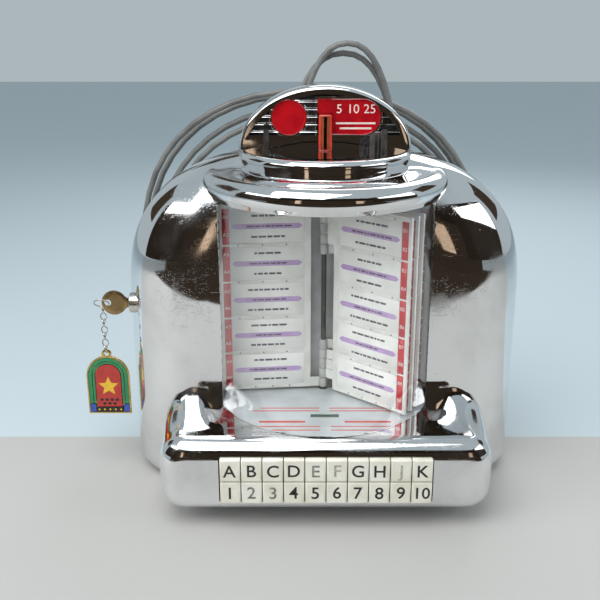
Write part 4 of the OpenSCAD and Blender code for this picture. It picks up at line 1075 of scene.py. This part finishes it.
def buildPlug():
    w = worksSet
    bm = bmesh.new()
    turn = radians(w["plugTurn"])
    along = Vector((cos(turn), sin(turn), 0))
    start = Vector(w["plugAt"])
    profile = [(2.9, 0.4), (4.6, 0.4), (5.0, 3)] + [(5.1 + 0.28 * (i % 2) + i * 0.1, 3 + i * 1.1) for i in range(1,
        13)]
    profile += [(7.2, 18.2), (7.9, 20), (7.9, 33.5), (7.4, 35), (4.2, 35.6)]
    for (r0, a), (r1, b) in zip(profile, profile[1:]):
        addRod(bm, r0, start + along * a, start + along * b, 48, endRadius=r1, caps=False)
    finishPiece(bm, "cordPlug", blackRubber, "base", ["cable_plug"], sharp=30)
    pins = bmesh.new()
    for i in range(3):
        a = radians(120 * i + 90)
        side = Vector((-sin(turn), cos(turn), 0)) * (4.6 * cos(a)) + Vector((0, 0, 4.6 * sin(a)))
        addRod(pins, 0.9, start + along * 30 + side * 0.8, start + along * 35.9 + side * 0.8, 20)
    finishPiece(pins, "plugContacts", yellowBrass, "base", sharp=35)


def screwHead(bm, place, direction, radius=2.6, high=1.1):
    # a pan head with a slot, its flat side on the place given
    head = bmesh.new()
    bmesh.ops.create_circle(head, cap_ends=True, segments=28, radius=radius)
    face = list(head.faces)[0]
    for inset, rise in ((0.0, high * 0.55), (radius * 0.12, high * 0.25), (radius * 0.3, high * 0.2)):
        if inset:
            bmesh.ops.inset_region(head, faces=[face], thickness=inset)
        grown = bmesh.ops.extrude_face_region(head, geom=[face])
        moved = [v for v in grown["geom"] if isinstance(v, bmesh.types.BMVert)]
        bmesh.ops.translate(head, vec=(0, 0, rise), verts=moved)
        bmesh.ops.delete(head, geom=[face], context="FACES_ONLY")
        face = [g for g in grown["geom"] if isinstance(g, bmesh.types.BMFace)][0]
    body = toolObject(head)
    slot = boxBmesh((-radius * 1.2, -radius * 0.13, high * 0.55), (radius * 1.2, radius * 0.13, high * 2))
    carve(body, slot)
    cut = fromObject(body)
    mesh = bpy.data.meshes.new("screw")
    cut.to_mesh(mesh)
    cut.free()
    before = set(bm.verts)
    bm.from_mesh(mesh)
    bpy.data.meshes.remove(mesh)
    turn = Vector((0, 0, 1)).rotation_difference(Vector(direction)).to_matrix().to_4x4()
    bmesh.ops.transform(bm, matrix=Matrix.Translation(place) @ turn, verts=[v for v in bm.verts if v not in before])


buildSprings()
buildLockoutCoil()
buildPlug()
print("works made")

# small fasteners

screwPlaces = (
    (((-137, 78.4, 36), (0, -1, 0)), ((-137, 78.4, 150), (0, -1, 0)), ((137, 78.4, 170), (0, -1, 0)),
        ((0, 78.4, 236), (0, -1, 0))),
    (((-30, -30.4, 38), (0, 1, 0)), ((30, -30.4, 38), (0, 1, 0)), ((-70, -30.4, 44), (0, 1, 0)),
        ((70, -30.4, 56), (0, 1, 0))),
)


def buildFasteners():
    for body, places in zip(("base", "cover"), screwPlaces):
        bm = bmesh.new()
        for place, direction in places:
            screwHead(bm, place, direction)
        finishPiece(bm, body + "Screws", nickel, body, sharp=35)


def buildTerminals():
    # brass screws on the terminal strip
    bm = bmesh.new()
    for i in range(6):
        z = 56.5 + i * 13.4
        for x in (-113.4, -106.6):
            screwHead(bm, (x, 65.6, z), (0, -1, 0), 2.1, 0.9)
    finishPiece(bm, "terminalScrews", yellowBrass, "base", sharp=35)


buildFasteners()
buildTerminals()
print("fasteners made")

# materials of the nodes that keep their CAD shape
# page leaves: pale plastic, grey knuckles round the spindle and dark tabs above the leaf

leafSetup = {"spineY": 0.026, "knuckle": (0.0034, 0.0038), "tabFrom": (0.2275, 0.2285)}
leafMaterial, leafTree, leafShader = newMaterial("pageLeaf")
leafTone, knuckleTone, tabTone = (
    addGroup(leafTree, mottleGroup, (-900, height), **{"Scale": scale, "Light": light + (1,),
        "Dark": dark + (1,)}).outputs["Colour"]
    for height, scale, light, dark in (
        (200, 45.0, (0.78, 0.77, 0.74), (0.66, 0.65, 0.6)),
        (0, 90.0, (0.5, 0.5, 0.48), (0.36, 0.36, 0.35)),
        (-200, 90.0, (0.035, 0.03, 0.028), (0.07, 0.06, 0.055)),
    )
)
leafPlace = addNode(leafTree, "ShaderNodeSeparateXYZ", (-900, -400))
leafTree.links.new(addNode(leafTree, "ShaderNodeTexCoord", (-1100, -400)).outputs["Object"], leafPlace.inputs[0])
fromSpine = mathNode(leafTree, "SUBTRACT", leafPlace.outputs["Y"], leafSetup["spineY"])
sideways, forward = (mathNode(leafTree, "MULTIPLY", part, part) for part in (leafPlace.outputs["X"], fromSpine))
squared = mathNode(leafTree, "ADD", sideways, forward)
inLeaf = ramp(leafTree, mathNode(leafTree, "SQRT", squared), *leafSetup["knuckle"])
onTab = ramp(leafTree, leafPlace.outputs["Z"], *leafSetup["tabFrom"])
leafColour = mixColours(leafTree, inLeaf, knuckleTone, leafTone)
leafTree.links.new(mixColours(leafTree, onTab, leafColour, tabTone), leafShader.inputs["Base Color"])
leafGrime = addGroup(leafTree, grimeGroup, (-900, -600),
    **{"Cloud Scale": 30.0, "Pit Scale": 700.0, "Pit Share": 0.2})
leafTree.links.new(ramp(leafTree, leafGrime.outputs["Haze"], 0, 1, 0.25, 0.42), leafShader.inputs["Roughness"])

keptNodes = (
    (zincSteel, 0.25, ("back_pan", "cash_box", "hinge_base", "hinge_cover", "lock_catch", "button_frame")),
    (castZinc, 0.3, ("coin_rejector", "coin_entry_chute")),
    (phenolic, 0.2, ("terminal_strip", "contact_board", "selector_disc")),
    (blackRubber, 0.4, ("cable_gland",)),
    (darkSteel, 0.25, ("lockout_coil", "page_spindle", "selector_motor")),
    (holderGrey, 0.3, ("page_panel",)),
    (milkGlass, 0.4, ("lamp",)),
    (yellowBrass, 0.2, ("selector_arm",)),
    (agedBrass, 0.2, ("lock_plug",)),
    (leafMaterial, 0.2, tuple("page_%d" % i for i in range(1, 6))),
)
for material, width, nodes in keptNodes:
    for node in nodes:
        softenNode(node, material, width)
print("kept nodes finished")

# stage

stageSetup = {
    "floorColour": (0.5, 0.49, 0.47), "wallColour": (0.55, 0.63, 0.67), "edgeY": 0.07,
    # cards seen only in the chrome: centre, size, turn about X and Z in degrees, and how bright they are
    "cards": (
        ((0, -1.3, 0.95), (2.6, 0.75), 90, 0, 0.015), ((0, -0.95, 0.3), (2.6, 0.6), 90, 0, 0.03),
        ((0, -1.08, 0.002), (2.6, 1.2), 0, 0, 0.035),
        ((-0.42, -0.9, 0.38), (0.09, 0.42), 90, 0, 0.8), ((0.5, -0.9, 0.34), (0.14, 0.34), 90, 0, 0.6),
        ((-0.95, -0.45, 0.55), (0.9, 0.8), 90, -62, 0.02), ((0.95, -0.45, 0.55), (0.9, 0.8), 90, 62, 0.02),
        ((-1.0, 0.35, 0.75), (0.5, 0.5), 90, -110, 0.05), ((1.0, 0.35, 0.75), (0.5, 0.5), 90, 110, 0.05),
        ((0, -0.35, 1.35), (0.5, 0.35), 0, 0, 0.03), ((0, 1.2, 0.9), (1.2, 0.5), 90, 180, 0.05),
    ),
}


def addPlane(name, size, place, turn=(0, 0, 0)):
    bm = bmesh.new()
    bmesh.ops.create_grid(bm, x_segments=1, y_segments=1, size=0.5)
    bmesh.ops.scale(bm, vec=(size[0], size[1], 1), verts=bm.verts)
    bmesh.ops.rotate(bm, matrix=Matrix.Rotation(turn[0], 3, "X"), verts=bm.verts)
    bmesh.ops.rotate(bm, matrix=Matrix.Rotation(turn[2], 3, "Z"), verts=bm.verts)
    bmesh.ops.translate(bm, vec=place, verts=bm.verts)
    mesh = bpy.data.meshes.new(name)
    bm.to_mesh(mesh)
    bm.free()
    plane = bpy.data.objects.new(name, mesh)
    bpy.context.collection.objects.link(plane)
    return plane


floorMaterial, floorTree, floorShader = newMaterial("paleFloor", Roughness=0.6)
floorWhere = addNode(floorTree, "ShaderNodeSeparateXYZ", (-700, 0))
floorTree.links.new(addNode(floorTree, "ShaderNodeTexCoord", (-900, 0)).outputs["Object"], floorWhere.inputs[0])
floorEdge = ramp(floorTree, floorWhere.outputs["Y"], stageSetup["edgeY"], stageSetup["edgeY"] + 0.004)
floorTree.links.new(mixColours(floorTree, floorEdge, stageSetup["floorColour"] + (1,),
    stageSetup["wallColour"] + (1,)), floorShader.inputs["Base Color"])
floorPlane = addPlane("floor", (8, 8), (0, 0, 0))
floorPlane.data.materials.append(floorMaterial)
for number, (place, size, turnX, turnZ, glow) in enumerate(stageSetup["cards"]):
    cardMaterial, _, cardShader = newMaterial("card%d" % number, Roughness=1.0)
    cardShader.inputs["Base Color"].default_value = (0.0, 0.0, 0.0, 1)
    cardShader.inputs["Specular IOR Level"].default_value = 0.0
    cardShader.inputs["Emission Color"].default_value = (1.0, 0.72, 0.5, 1)
    cardShader.inputs["Emission Strength"].default_value = glow
    card = addPlane("card%d" % number, size, place, (radians(turnX), 0, radians(turnZ)))
    card.data.materials.append(cardMaterial)
    for flag in ("visible_camera", "visible_diffuse", "visible_shadow", "visible_transmission",
            "visible_volume_scatter"):
        setattr(card, flag, False)
world = bpy.data.worlds.new("studio")
bpy.context.scene.world = world
world.use_nodes = True
world.node_tree.nodes["Background"].inputs["Color"].default_value = stageSetup["wallColour"] + (1,)
world.node_tree.nodes["Background"].inputs["Strength"].default_value = 0.75

for name, energy, size, place, target in (
    ("topSoftbox", 9.0, 0.9, (-0.25, -0.45, 1.15), (0, 0, 0.15)),
    ("leftSoftbox", 5.0, 0.7, (-1.0, -0.5, 0.6), (0, 0, 0.15)),
    ("rightFill", 3.0, 0.7, (1.0, -0.4, 0.5), (0, 0, 0.15)),
    ("backSoftbox", 4.0, 0.8, (0.3, 1.0, 0.9), (0, 0, 0.15)),
):
    lampData = bpy.data.lights.new(name, "AREA")
    lampData.energy = energy
    lampData.size = size
    lampObject = bpy.data.objects.new(name, lampData)
    lampObject.location = place
    lampObject.rotation_euler = (Vector(target) - Vector(place)).to_track_quat("-Z", "Y").to_euler()
    bpy.context.collection.objects.link(lampObject)

bpy.context.scene.view_settings.view_transform = "Standard"
